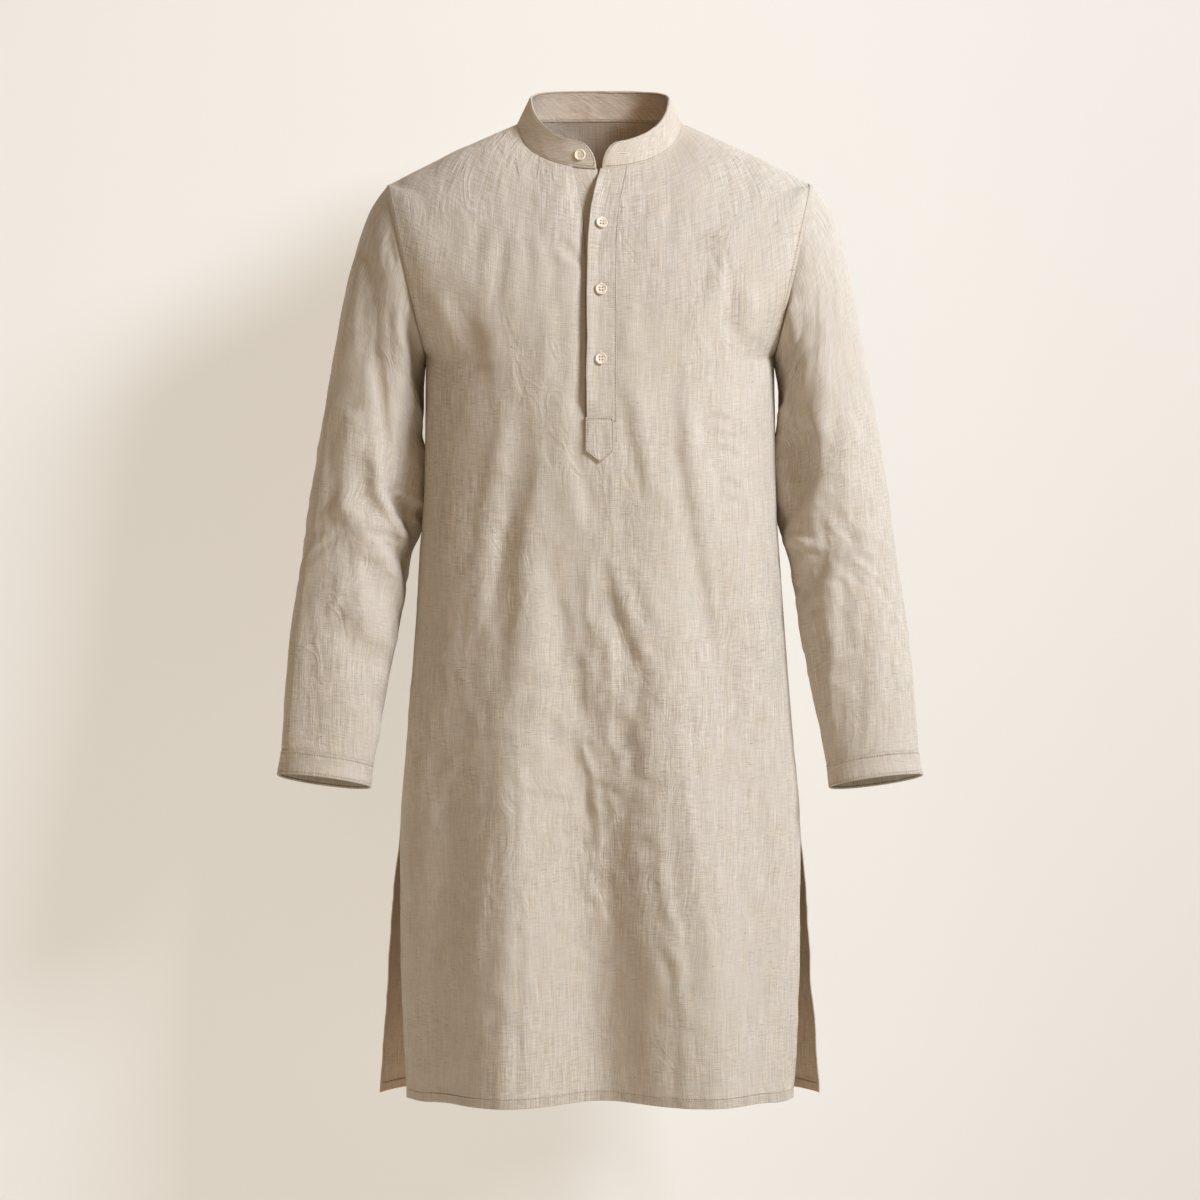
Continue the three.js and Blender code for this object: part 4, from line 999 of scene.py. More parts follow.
def new_group(
    name: str, inputs: dict[str, str], outputs: dict[str, str]
) -> tuple[bpy.types.NodeTree, Nodes, dict[str, Socket], bpy.types.Node]:
    """Starts a shader node group.

    Args:
        name: Name of the group.
        inputs: Socket types by input name.
        outputs: Socket types by output name.

    Returns:
        The tree, its node helper, its input sockets by name, and its output node.
    """
    tree = bpy.data.node_groups.new(name, "ShaderNodeTree")
    for label, kind in inputs.items():
        tree.interface.new_socket(label, in_out="INPUT", socket_type=kind)
    for label, kind in outputs.items():
        tree.interface.new_socket(label, in_out="OUTPUT", socket_type=kind)
    nodes = Nodes(tree)
    entry = nodes.add("NodeGroupInput")
    leave = nodes.add("NodeGroupOutput")
    return tree, nodes, {label: entry.outputs[label] for label in inputs}, leave


def weave_group() -> bpy.types.NodeTree:
    """Plain-woven linen: crossing threads, thick and thin slubs, specks and faint clouds.

    Coordinates are metres along the two threads. The colour runs between a shaded and a pale
    thread colour, and the height is a share of a thread's rise.
    """
    inputs = {"Cloth": VECTOR, "Shaded": COLOUR, "Pale": COLOUR, "Speck": COLOUR, "Contrast": NUMBER}
    tree, n, entry, leave = new_group("linen_weave", inputs, {"Color": COLOUR, "Height": NUMBER, "Rough": NUMBER})
    cloth = entry["Cloth"]
    bend = n.noise(n.stretch(cloth, (9, 9, 1)), detail=1.0)
    drift = n.add("ShaderNodeVectorMath", {0: cloth}, operation="ADD")
    sway = {"X": n.math("MULTIPLY", bend, 0.004), "Y": n.math("MULTIPLY", bend, -0.004)}
    tree.links.new(n.add("ShaderNodeCombineXYZ", sway).outputs[0], drift.inputs[1])
    thread = drift.outputs[0]
    warp = n.noise(n.stretch(thread, (950, 34, 1)), detail=2.0, rough=0.6)
    weft = n.noise(n.stretch(thread, (60, 950, 1), (31, 7, 0)), detail=2.0, rough=0.6)
    broad_warp = n.noise(n.stretch(thread, (330, 13, 1), (5, 3, 0)), detail=2.0)
    broad_weft = n.noise(n.stretch(thread, (13, 330, 1), (2, 9, 0)), detail=2.0)
    grain = n.noise(n.stretch(thread, (700, 700, 1)), detail=2.0, rough=0.7)
    clouds = n.noise(n.stretch(cloth, (36, 26, 1), (8, 8, 0)), detail=5.0, rough=0.72)
    pairs = ((warp, 1.0), (weft, 0.62), (broad_warp, 0.36), (broad_weft, 0.14), (grain, 0.3), (clouds, 0.1))
    total = None
    for value, weight in pairs:
        part = n.math("MULTIPLY", n.math("SUBTRACT", value, 0.5), weight)
        total = part if total is None else n.math("ADD", total, part)
    worn = n.ramp(n.noise(n.stretch(cloth, (7, 6, 1), (2, 8, 0)), detail=2.0), 0.35, 0.65, 0.7, 1.4)
    share = n.math("ADD", n.math("MULTIPLY", total, n.math("MULTIPLY", entry["Contrast"], worn)), 0.5)
    base = n.mix(n.add("ShaderNodeClamp", {"Value": share}).outputs[0], entry["Shaded"], entry["Pale"])
    warmth = n.noise(n.stretch(thread, (70, 24, 1), (6, 2, 0)), detail=3.0, rough=0.65)
    base = n.mix(n.ramp(warmth, 0.5, 0.72, 0.0, 0.55), base, n.mix(1.0, base, (1.0, 0.95, 0.87), "MULTIPLY"))
    cool = n.noise(n.stretch(thread, (26, 60, 1), (1, 9, 0)), detail=3.0, rough=0.65)
    base = n.mix(n.ramp(cool, 0.52, 0.74, 0.0, 0.6), base, n.mix(1.0, base, (0.95, 0.985, 1.0), "MULTIPLY"))
    dashes = n.noise(n.stretch(thread, (75, 800, 1), (13, 5, 0)), detail=1.0)
    patches = n.ramp(n.noise(n.stretch(cloth, (16, 22, 1), (3, 1, 0)), detail=2.0), 0.46, 0.66)
    slub = n.math("MULTIPLY", n.ramp(dashes, 0.62, 0.78), patches)
    cells = {"Vector": n.stretch(thread, (22, 75, 1)), "Scale": 1.0, "Randomness": 1.0}
    knots = n.add("ShaderNodeTexVoronoi", cells, voronoi_dimensions="2D")
    chance = n.add("ShaderNodeSeparateColor", {0: knots.outputs["Color"]}).outputs[0]
    speck = n.math("MULTIPLY", n.ramp(knots.outputs["Distance"], 0.015, 0.05, 1.0, 0.0), n.ramp(chance, 0.968, 0.98))
    marks = n.math("MAXIMUM", n.math("MULTIPLY", slub, 0.34), n.math("MULTIPLY", speck, 0.7))
    tree.links.new(n.mix(marks, base, entry["Speck"]), leave.inputs["Color"])
    split = n.add("ShaderNodeSeparateXYZ", {0: thread})
    pitch = math.pi / THREAD_PITCH
    over = n.math("SINE", n.math("MULTIPLY", split.outputs[0], pitch))
    under = n.math("SINE", n.math("MULTIPLY", split.outputs[1], pitch))
    crossing = n.math("MULTIPLY", n.math("MULTIPLY", over, under), 0.35)
    cords = n.math("MULTIPLY", n.math("ADD", n.math("ABSOLUTE", over), n.math("ABSOLUTE", under)), 0.25)
    slubs = n.math("ADD", n.math("MULTIPLY", warp, 1.1), n.math("MULTIPLY", weft, 1.3))
    height = n.math("ADD", n.math("ADD", crossing, cords), n.math("ADD", slubs, n.math("MULTIPLY", speck, 0.6)))
    tree.links.new(height, leave.inputs["Height"])
    tree.links.new(n.ramp(grain, 0.2, 0.8, 0.82, 0.95), leave.inputs["Rough"])
    return tree


def crumple_group() -> bpy.types.NodeTree:
    """Small wrinkles of washed linen: warped ridges in two sizes, as a height in millimetres."""
    tree, n, entry, leave = new_group("linen_crumple", {"Cloth": VECTOR}, {"Height": NUMBER})
    cloth = entry["Cloth"]
    patches = n.ramp(n.noise(n.stretch(cloth, (9, 7, 1), (4, 2, 0)), detail=2.0), 0.4, 0.68)
    ridges = n.add(
        "ShaderNodeTexNoise",
        {"Vector": n.stretch(cloth, (46, 24, 1)), "Scale": 1.0, "Detail": 3.0, "Roughness": 0.5, "Distortion": 0.9},
        noise_dimensions="2D",
    ).outputs["Fac"]
    crest = n.math("SUBTRACT", 1.0, n.math("ABSOLUTE", n.math("MULTIPLY", n.math("SUBTRACT", ridges, 0.5), 5.0)))
    crest = n.add("ShaderNodeClamp", {"Value": crest}).outputs[0]
    fine = n.noise(n.stretch(cloth, (150, 110, 1), (2, 6, 0)), detail=3.0, rough=0.55)
    soft = n.noise(n.stretch(cloth, (30, 18, 1), (7, 1, 0)), detail=2.0)
    height = n.math("MULTIPLY", crest, n.math("MULTIPLY", patches, 0.55))
    height = n.math("ADD", height, n.math("MULTIPLY", fine, 0.2))
    height = n.math("ADD", height, n.math("MULTIPLY", soft, 0.6))
    tree.links.new(height, leave.inputs["Height"])
    return tree


def stitched_group() -> bpy.types.NodeTree:
    """Stitched lines of a seam or hem, from the signed distance to them in millimetres.

    The cloth sinks in a narrow bell about the line, with painted shade in that groove, dotted like the stitches, and it
    puckers beside it.
    """
    outputs = {"Line": NUMBER, "Height": NUMBER, "Folded": NUMBER}
    tree, n, entry, leave = new_group("linen_stitched", {"Cloth": VECTOR, "Seam": NUMBER}, outputs)
    away = n.math("ABSOLUTE", entry["Seam"])
    split = n.add("ShaderNodeSeparateXYZ", {0: entry["Cloth"]})
    run = n.math("MULTIPLY", n.math("ADD", split.outputs[0], split.outputs[1]), 2.0 * math.pi / STITCH_PITCH)
    dots = n.ramp(n.math("SINE", run), -0.5, 0.6, 0.45, 1.0)
    # Where the groove of a stitched line takes painted shade, dotted at the stitch pitch.
    line = n.math("MULTIPLY", n.ramp(away, 0.2, 0.9, 1.0, 0.0), dots)
    beside = n.ramp(away, 0.5, 9.0, 1.0, 0.0)
    pucker = n.noise(n.stretch(entry["Cloth"], (150, 150, 1), (3, 4, 0)), detail=2.0)
    folded = n.ramp(entry["Seam"], -0.6, 0.6, 1.0, 0.0)
    height = n.math("MULTIPLY", n.math("MULTIPLY", pucker, beside), 0.9)
    height = n.math("ADD", height, n.math("MULTIPLY", folded, 0.45))
    height = n.math("SUBTRACT", height, n.math("MULTIPLY", line, 0.55))
    for label, value in (("Line", line), ("Height", height), ("Folded", folded)):
        tree.links.new(value, leave.inputs[label])
    return tree


@dataclass(frozen=True)
class LinenFinish:
    """Natural linen, matt, with its weave and small wrinkles.

    Attributes:
        name: Name of the material.
        shaded: Colour of the darker threads, linear.
        pale: Colour of the paler threads, linear.
        speck: Colour of slubs and specks, linear.
        inside: What the colour is multiplied by on inner faces: painted shade, darker and warmer.
        line: What the colour is multiplied by in a stitched line: painted shade of its groove.
        fold: What it is multiplied by beside one, where the cloth is doubled.
        contrast: How far the threads' colours spread.
        crumple: Strength of the small wrinkles.
    """

    name: str = "linen"
    shaded: Colour = (0.41, 0.345, 0.266)
    pale: Colour = (0.70, 0.63, 0.535)
    speck: Colour = (0.20, 0.14, 0.09)
    # Painted shade of inner faces.
    inside: Colour = (0.96, 0.82, 0.70)
    line: Colour = (0.70, 0.64, 0.56)
    fold: Colour = (0.87, 0.85, 0.82)
    contrast: float = 1.0
    crumple: float = 1.0

    def material(
        self, weave: bpy.types.NodeTree, crumple: bpy.types.NodeTree, stitched: bpy.types.NodeTree
    ) -> bpy.types.Material:
        """Builds the material from the three shared groups."""
        made, n = new_material(self.name)
        cloth = n.add("ShaderNodeUVMap", uv_map=CLOTH_UV).outputs[0]
        inputs = {"Cloth": cloth, "Contrast": self.contrast}
        inputs |= {"Shaded": (*self.shaded, 1.0), "Pale": (*self.pale, 1.0), "Speck": (*self.speck, 1.0)}
        threads = n.add("ShaderNodeGroup", inputs, node_tree=weave)
        creased = n.add("ShaderNodeGroup", {"Cloth": cloth}, node_tree=crumple)
        mark = n.add("ShaderNodeAttribute", attribute_name=SEAM_MARK).outputs["Fac"]
        sewn = n.add("ShaderNodeGroup", {"Cloth": cloth, "Seam": mark}, node_tree=stitched)
        # Painted shade: inner faces are darkened and warmed by the inside tone.
        shade = n.add("ShaderNodeAttribute", attribute_name=INSIDE_SHADE_MARK).outputs["Fac"]
        folded = n.math("MULTIPLY", sewn.outputs["Folded"], 0.5)
        colour = threads.outputs["Color"]
        # Multiplies in the doubled cloth's tone, the painted shade of stitched grooves and the painted shade of inner
        # faces.
        for share, tone in ((folded, self.fold), (sewn.outputs["Line"], self.line), (shade, self.inside)):
            colour = n.mix(share, colour, n.mix(1.0, colour, tone, "MULTIPLY"))
        relief = n.math("ADD", creased.outputs["Height"], sewn.outputs["Height"])
        rumpled = n.add("ShaderNodeBump", {"Height": relief, "Distance": MM, "Strength": self.crumple})
        woven = n.add(
            "ShaderNodeBump",
            {"Height": threads.outputs["Height"], "Distance": 0.00022, "Strength": 0.8, "Normal": rumpled.outputs[0]},
        )
        shader = n.add(
            "ShaderNodeBsdfPrincipled",
            {
                "Base Color": colour,
                "Roughness": threads.outputs["Rough"],
                "Normal": woven.outputs[0],
                "Sheen Weight": 0.02,
                "Sheen Roughness": 0.5,
                "Specular IOR Level": 0.18,
            },
        )
        n.add("ShaderNodeOutputMaterial", {0: shader.outputs[0]})
        return made


@dataclass(frozen=True)
class ThreadFinish:
    """Spun sewing thread with a faint twist.

    Attributes:
        name: Name of the material.
        colour: Middle colour, linear.
        roughness: Surface roughness.
    """

    name: str = "sewing_thread"
    colour: Colour = (0.82, 0.74, 0.62)
    roughness: float = 0.75

    def material(self) -> bpy.types.Material:
        """Builds the material: the colour varies along the thread, with a fine twist in the bump."""
        made, n = new_material(self.name)
        place = n.add("ShaderNodeTexCoord").outputs["Object"]
        shade = n.add("ShaderNodeTexNoise", {"Vector": place, "Scale": 420.0, "Detail": 2.0}).outputs["Fac"]
        darker = tuple(0.8 * part for part in self.colour)
        waves = {"Vector": place, "Scale": 900.0, "Distortion": 2.0}
        twist = n.add("ShaderNodeTexWave", waves, bands_direction="DIAGONAL")
        bump = n.add("ShaderNodeBump", {"Height": twist.outputs["Fac"], "Distance": 0.00006, "Strength": 0.6})
        colour = n.mix(shade, darker, self.colour)
        inputs = {"Base Color": colour, "Roughness": self.roughness, "Normal": bump.outputs[0]}
        shader = n.add("ShaderNodeBsdfPrincipled", inputs)
        n.add("ShaderNodeOutputMaterial", {0: shader.outputs[0]})
        return made


@dataclass(frozen=True)
class ButtonFinish:
    """Cream button with a warm marbled body and satin polish.

    Attributes:
        name: Name of the material.
        light: Paler colour of the marbling, linear.
        dark: Darker colour of the marbling, linear.
        roughness: Surface roughness.
    """

    name: str = "button_shell"
    light: Colour = (0.86, 0.76, 0.63)
    dark: Colour = (0.70, 0.56, 0.41)
    roughness: float = 0.35

    def material(self) -> bpy.types.Material:
        """Builds the material: stretched noise for the marbling and faint turning marks in the bump."""
        made, n = new_material(self.name)
        place = n.add("ShaderNodeTexCoord").outputs["Object"]
        veins = n.add("ShaderNodeTexNoise", {"Vector": n.stretch(place, (260, 120, 420)), "Scale": 1.0, "Detail": 4.0})
        colour = n.mix(n.ramp(veins.outputs["Fac"], 0.35, 0.7), self.light, self.dark)
        fine = {"Vector": n.stretch(place, (2400, 900, 2400)), "Scale": 1.0, "Detail": 2.0}
        scratch = n.add("ShaderNodeTexNoise", fine)
        bump = n.add("ShaderNodeBump", {"Height": scratch.outputs["Fac"], "Distance": 0.00003, "Strength": 0.5})
        inputs = {"Base Color": colour, "Roughness": self.roughness, "Normal": bump.outputs[0], "Coat Weight": 0.15}
        shader = n.add("ShaderNodeBsdfPrincipled", inputs)
        n.add("ShaderNodeOutputMaterial", {0: shader.outputs[0]})
        return made


@dataclass(frozen=True)
class SlitShadowFinish:
    """Painted shadow for a buttonhole's slit: dark bars where the cut shows only shade.

    Attributes:
        name: Name of the material.
        deep: Darker colour, linear.
        edge: Paler colour, linear.
        roughness: Surface roughness.
    """

    name: str = "slit_shadow"
    deep: Colour = (0.10, 0.065, 0.04)
    edge: Colour = (0.2, 0.14, 0.09)
    roughness: float = 0.95

    def material(self) -> bpy.types.Material:
        """Builds the material: noise between the two colours."""
        made, n = new_material(self.name)
        place = n.add("ShaderNodeTexCoord").outputs["Object"]
        shade = n.add("ShaderNodeTexNoise", {"Vector": place, "Scale": 500.0}).outputs["Fac"]
        inputs = {"Base Color": n.mix(shade, self.deep, self.edge), "Roughness": self.roughness}
        shader = n.add("ShaderNodeBsdfPrincipled", inputs)
        n.add("ShaderNodeOutputMaterial", {0: shader.outputs[0]})
        return made


@dataclass(frozen=True)
class BackdropFinish:
    """Pale studio sweep, partly lit from within so that shadows on it stay light.

    Attributes:
        name: Name of the material.
        paint: Colour that the lights fall on, linear.
        far_paint: The same at the wearer's left, which is nearer to the key light.
        glow: Light that it gives of itself, linear.
    """

    name: str = "backdrop"
    paint: Colour = (0.40, 0.39, 0.37)
    far_paint: Colour = (0.30, 0.29, 0.275)
    glow: Colour = (0.50, 0.465, 0.41)

    def material(self) -> bpy.types.Material:
        """Builds the material: paint and glow, clear where its back faces the viewer."""
        made, n = new_material(self.name)
        place = n.add("ShaderNodeSeparateXYZ", {0: n.add("ShaderNodeTexCoord").outputs["Object"]})
        coat = n.mix(n.ramp(place.outputs[0], -0.15, 0.75), self.paint, self.far_paint)
        paint = n.add("ShaderNodeBsdfDiffuse", {"Color": coat})
        glow = n.add("ShaderNodeEmission", {"Color": (*self.glow, 1.0)})
        both = n.add("ShaderNodeAddShader", {0: paint.outputs[0], 1: glow.outputs[0]})
        clear = n.add("ShaderNodeBsdfTransparent")
        behind = n.add("ShaderNodeNewGeometry").outputs["Backfacing"]
        shader = n.add("ShaderNodeMixShader", {0: behind, 1: both.outputs[0], 2: clear.outputs[0]})
        n.add("ShaderNodeOutputMaterial", {0: shader.outputs[0]})
        return made


@dataclass
class Finishes:
    """All the materials, built once."""

    linen: bpy.types.Material
    thread: bpy.types.Material
    button: bpy.types.Material
    backdrop: bpy.types.Material
    slit: bpy.types.Material

    @classmethod
    def build(cls) -> "Finishes":
        """Builds the shared groups and every material."""
        return cls(
            LinenFinish().material(weave_group(), crumple_group(), stitched_group()),
            ThreadFinish().material(),
            ButtonFinish().material(),
            BackdropFinish().material(),
            SlitShadowFinish().material(),
        )


def dress(piece: bpy.types.Object, material: bpy.types.Material, nodes: tuple[str, ...] = ()) -> None:
    """Gives a piece its material and its place in the frame.

    Args:
        piece: The object.
        material: Its material.
        nodes: CAD nodes that it stands for.
    """
    piece.data.materials.append(material)
    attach(piece, "root")
    if nodes:
        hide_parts(*nodes)
    LOG.info("%s: %d vertices", piece.name, len(piece.data.vertices))


# ---------- body panels ----------


@dataclass
class PlacketSizes:
    """Places across the front, in X, of the placket's cut and strips.

    Each side is drawn away from the middle at the neck by the spread, which dies out downward.
    """

    over_free: float = -14.2
    over_sewn: float = 17.2
    cut_right: float = -15.2
    cut_left: float = 12.6
    under_free: float = 12.5
    spread: float = 14.4
    spread_reach: float = 42.0
    strip_lap: float = 2.0
    strip_start: float = 54.2
    over_end: float = 326.0
    cut_end: float = 341.0
    under_end: float = 352.0
    valley_depth: float = 4.4
    valley_width: float = 10.0

    def spread_at(self, level: Array) -> Array:
        """Spread at a level: it falls off as e to a power of the depth below the neck."""
        depth = np.maximum(level - SEAM_LEVELS["neck"], 0.0)
        return self.spread * np.exp(-np.power(depth / self.spread_reach, 1.4))

    def valley(self, x: Array, level: Array) -> Array:
        """How far the cloth sinks beside the over strip's free edge: a bell across, fading at both ends."""
        ends = smoothstep(level, 54.0, 84.0) * (1.0 - smoothstep(level, 296.0, 336.0))
        away = x - self.cut_right + self.spread_at(level)
        reach = np.where(away < 0.0, self.valley_width, 3.0 * self.valley_width)
        return -self.valley_depth * ends * bell(away, reach)


PLACKET = PlacketSizes()


@dataclass
class BodyPanel:
    """Front or back of the body, as one shell with folded hems beside the slits and at the foot.

    Attributes:
        face: Which panel this is.
        creases: Its creases.
        cell: Spacing of the grid along and across the panel.
        wall: Cloth thickness.
        hem_wall: Thickness where the hem is folded in.
        hem_depth: Height of the hem's fold.
        slit_depth: Width of the fold beside the slits.
        armhole_line: Distance of the armhole's topstitching from its seam.
        shoulder_line: The same for the shoulder.
        seed: Seed of its small unevenness.
    """

    face: Face
    creases: tuple[Crease, ...]
    cell: tuple[float, float] = (3.35, 2.8)
    wall: float = 0.9
    hem_wall: float = 1.7
    hem_depth: float = 10.0
    slit_depth: float = 8.5
    armhole_line: float = 5.8
    shoulder_line: float = 2.6
    seed: int = 11

    def turns(self, levels: Array) -> tuple[Array, int, int]:
        """Turn of each grid point, and the columns of the cut's two edges (both 0 on the back)."""
        rows = len(levels)
        if self.face is Face.BACK:
            shares = ladder(400.0, self.cell[1])
            return np.tile(shares * 2.0 - 1.0, (rows, 1)), 0, 0
        spread = PLACKET.spread_at(levels)
        right = BODY.turn_at(self.face, levels, PLACKET.cut_right - spread)[:, None]
        left = BODY.turn_at(self.face, levels, PLACKET.cut_left + spread)[:, None]
        half = ladder(190.0, self.cell[1])
        inside = np.linspace(0.0, 1.0, 9)[1:-1]
        parts = [-1.0 + (right + 1.0) * half, right + (left - right) * inside, left + (1.0 - left) * half]
        return np.hstack(parts), len(half) - 1, len(half) + len(inside)

    def seam_shape(self, points: Array) -> tuple[Array, Array, Array]:
        """Height of the sewn edges, how far finer shapes are let through, and the stitched lines.

        An armhole has a flat fell 6 mm wide, a shoulder seam one of 3 mm, and every sewn edge
        sinks by a narrow groove. The last field is the signed distance to the stitched lines.
        """
        armhole = np.minimum(*(distance_to(points, BODY.armhole_line(arm)) for arm in Arm))
        shoulder = np.linspace(0.0, 1.0, 60)[:, None]
        shoulder = BODY.shoulder_point + (BODY.shoulder_tip - BODY.shoulder_point) * shoulder
        shoulders = np.minimum(*(distance_to(points, shoulder * [arm.value, 1.0, 1.0]) for arm in Arm))
        upper = points[..., 2] > -SEAM_LEVELS["armpit"] - 20.0
        fell = 0.7 * (1.0 - smoothstep(armhole, 5.4, 7.4)) - 0.5 * bell(armhole - 5.8, 0.9)
        fell = np.where(upper, fell - 0.4 * bell(armhole, 1.5), 0.0)
        fell = fell + 0.3 * (1.0 - smoothstep(shoulders, 2.4, 3.6)) - 0.4 * bell(shoulders, 1.3)
        calm = smoothstep(armhole, 2.0, 9.0) * smoothstep(shoulders, 2.0, 8.0)
        top = self.shoulder_line if self.face is Face.FRONT else -FAR
        lines = np.minimum(np.where(upper, armhole - self.armhole_line, FAR), shoulders - top)
        return fell, calm, lines

    def surface(self, levels: Array, turns: Array) -> tuple[Array, Array, Array]:
        """The finished outer surface.

        Args:
            levels: Level of each row.
            turns: Turn of each grid point.

        Returns:
            Points, normals and the signed distance of each point from the stitched lines.
        """
        grid_levels = np.repeat(levels[:, None], turns.shape[1], axis=1)
        points, normal = BODY.folded(self.face, grid_levels, turns)
        x, drop = points[..., 0], -points[..., 2]
        fell, calm, lines = self.seam_shape(points)
        top = gap_to_edges(points, "top")
        sides = gap_to_edges(points, "left right")
        sewn_side = smoothstep(-drop, -SEAM_LEVELS["slit"] - 40.0, -SEAM_LEVELS["slit"] + 20.0)
        calm = calm * smoothstep(top, 1.0, 8.0) * (1.0 - sewn_side * (1.0 - smoothstep(sides, 2.0, 12.0)))
        if self.face is Face.FRONT:
            spread = PLACKET.spread_at(grid_levels)
            strip = smoothstep(np.abs(x - 1.0) - spread, 17.0, 26.0)
            calm = calm * np.maximum(strip, smoothstep(drop, 372.0, 392.0))
            fell = fell + PLACKET.valley(x, grid_levels)
        slow = cloth_noise(x / 34.0, drop / 90.0, self.seed) * 1.4
        streaks = cloth_noise(x / 12.0, drop / 60.0, self.seed + 1, 2) * 0.6
        busy = bell(x - 5.0, 80.0) * bell(drop - 690.0, 200.0) + 0.15 + 0.35 * smoothstep(drop, 420.0, 620.0)
        x, drop = wandered(x, drop, self.seed + 4)
        height = crease_height(self.creases, x, drop) * CREASE_GAIN + slow + streaks
        height = height + crumpled(x, drop, self.seed + 2) * busy * 1.5
        bottom = gap_to_edges(points, "bottom")
        pucker = cloth_noise(x / 7.0, drop / 60.0, self.seed + 3, 2) * bell(bottom - self.hem_depth, 7.0) * 0.35
        stitch = -0.28 * bell(bottom - self.hem_depth, 0.9)
        points = points + normal * (height * calm + fell + pucker + stitch)[..., None]
        open_side = FAR * (1.0 - smoothstep(grid_levels, SEAM_LEVELS["slit"] - 8.0, SEAM_LEVELS["slit"] + 4.0))
        lines = np.minimum.reduce([lines, bottom - self.hem_depth, sides - self.slit_depth + 1.2 + 2 * open_side])
        return points, grid_normals(points, -1.0 if self.face is Face.FRONT else 1.0), lines

    def build(self, finishes: Finishes, stitches: StitchRun) -> None:
        """Makes the panel and lays its topstitching.

        Args:
            finishes: The materials.
            stitches: The run that its stitches join.
        """
        neck, hem = SEAM_LEVELS["neck"], SEAM_LEVELS["hem"]
        levels = neck + (hem - neck) * ladder(hem - neck, self.cell[0])
        turns, cut_right, cut_left = self.turns(levels)
        points, normals, lines = self.surface(levels, turns)
        gap, steps, missing = gap_to_edges(points), run_along(points), None
        if self.face is Face.FRONT:
            beside_cut = levels <= PLACKET.cut_end
            missing = np.zeros((len(levels) - 1, turns.shape[1] - 1), bool)
            missing[beside_cut[1:], cut_right:cut_left] = True
            for edge in (cut_right, cut_left):
                away = np.abs(steps - steps[:, edge : edge + 1])
                gap = np.where(beside_cut[:, None], np.minimum(gap, away), gap)
        sides = gap_to_edges(points, "left right")
        bottom = gap_to_edges(points, "bottom")
        folded = 1.0 - smoothstep(bottom, self.hem_depth - 0.6, self.hem_depth + 0.6)
        in_slit = (levels > SEAM_LEVELS["slit"])[:, None] & (sides < self.slit_depth)
        thickness = self.wall + (self.hem_wall - self.wall) * np.maximum(folded, in_slit)
        centre = np.argmin(np.abs(points[..., 0]), axis=1)
        u = steps - steps[np.arange(len(levels)), centre][:, None]
        offset = 0.0 if self.face is Face.FRONT else 1500.0
        uv = np.stack([u + offset, -np.repeat(levels[:, None], turns.shape[1], axis=1)], axis=-1)
        # Painted shade on the inner faces, stronger lower down towards the slits.
        inside = 0.5 + 0.5 * smoothstep(-points[..., 2], 420.0, 800.0)
        name = f"{self.face.value}_panel_cloth"
        shell = ClothShell(name, points, normals, thickness, gap, uv, missing=missing, seam=lines, inside=inside)
        piece = shell.dressed(finishes)
        self.stitch(ClothSurface(points, normals), levels, points, stitches)

    def stitch(self, surface: ClothSurface, levels: Array, points: Array, stitches: StitchRun) -> None:
        """Lays the stitches of shoulders, armholes, slits and hem."""
        for arm in Arm:
            from_right = arm is Arm.LEFT
            armhole = distance_to(points, BODY.armhole_line(arm))
            rows = np.where((levels > SEAM_LEVELS["tip"] + 4) & (levels < SEAM_LEVELS["armpit"] - 6))[0]
            stitches.along(*surface.line_at_gap(armhole, self.armhole_line, rows, from_right))
            sides = gap_to_edges(points, "right" if from_right else "left")
            rows = np.where(levels > SEAM_LEVELS["slit"] + 4)[0][:-4]
            stitches.along(*surface.line_at_gap(sides, self.slit_depth - 1.2, rows, from_right))
            if self.face is Face.FRONT:
                rows = np.where((levels > SEAM_LEVELS["neck"] + 3) & (levels < SEAM_LEVELS["tip"] - 3))[0]
                stitches.along(*surface.line_at_gap(sides, self.shoulder_line, rows, from_right))
        columns = np.arange(4, points.shape[1] - 4, dtype=float)
        row = np.interp(SEAM_LEVELS["hem"] - self.hem_depth, levels, np.arange(len(levels)))
        stitches.across(surface, row, columns)


# ---------- sleeves and cuffs ----------


@dataclass(frozen=True)
class SleeveRow:
    """A ring of the sleeve by its distance along the arm."""

    along: float
    outer_x: float
    outer_z: float
    inner_x: float
    inner_z: float
    y: float
    depth: float
    tilt: float = 0.0


@dataclass(frozen=True)
class SleeveFold:
    """A straight fold over the sleeve, from one place along and turn to another."""

    start: tuple[float, float]
    end: tuple[float, float]
    width: float
    rise: float


SLEEVE = table(
    SleeveRow,
    (0, 230, -67, 188, -250, 2, 75),
    (25, 247, -92, 189.8, -262, 2, 75),
    (55, 258.5, -121, 190.8, -275, 3, 73),
    (90, 268, -157, 191.4, -290, 4, 71),
    (130, 277, -197, 191.9, -308, 5, 68.5),
    (180, 286.5, -250, 192.3, -331, 6, 66),
    (240, 297.5, -312, 192.8, -362, 7, 63),
    (300, 307, -374, 194.8, -402, 7, 60, 0.5),
    (360, 316, -436, 203.3, -452, 4, 58, 2),
    (420, 324, -492, 211, -505, -3, 55, 5),
    (480, 331, -550, 220.5, -563, -13, 51, 8),
    (540, 336.5, -606, 230.5, -619, -24, 46, 9),
    (590, 340, -653, 238.5, -667, -33, 41, 9.5),
    (613, 341.5, -677, 242.6, -691, -38, 39, 9.5),
    (638, 345, -702, 246, -715, -42, 38, 9.5),
)

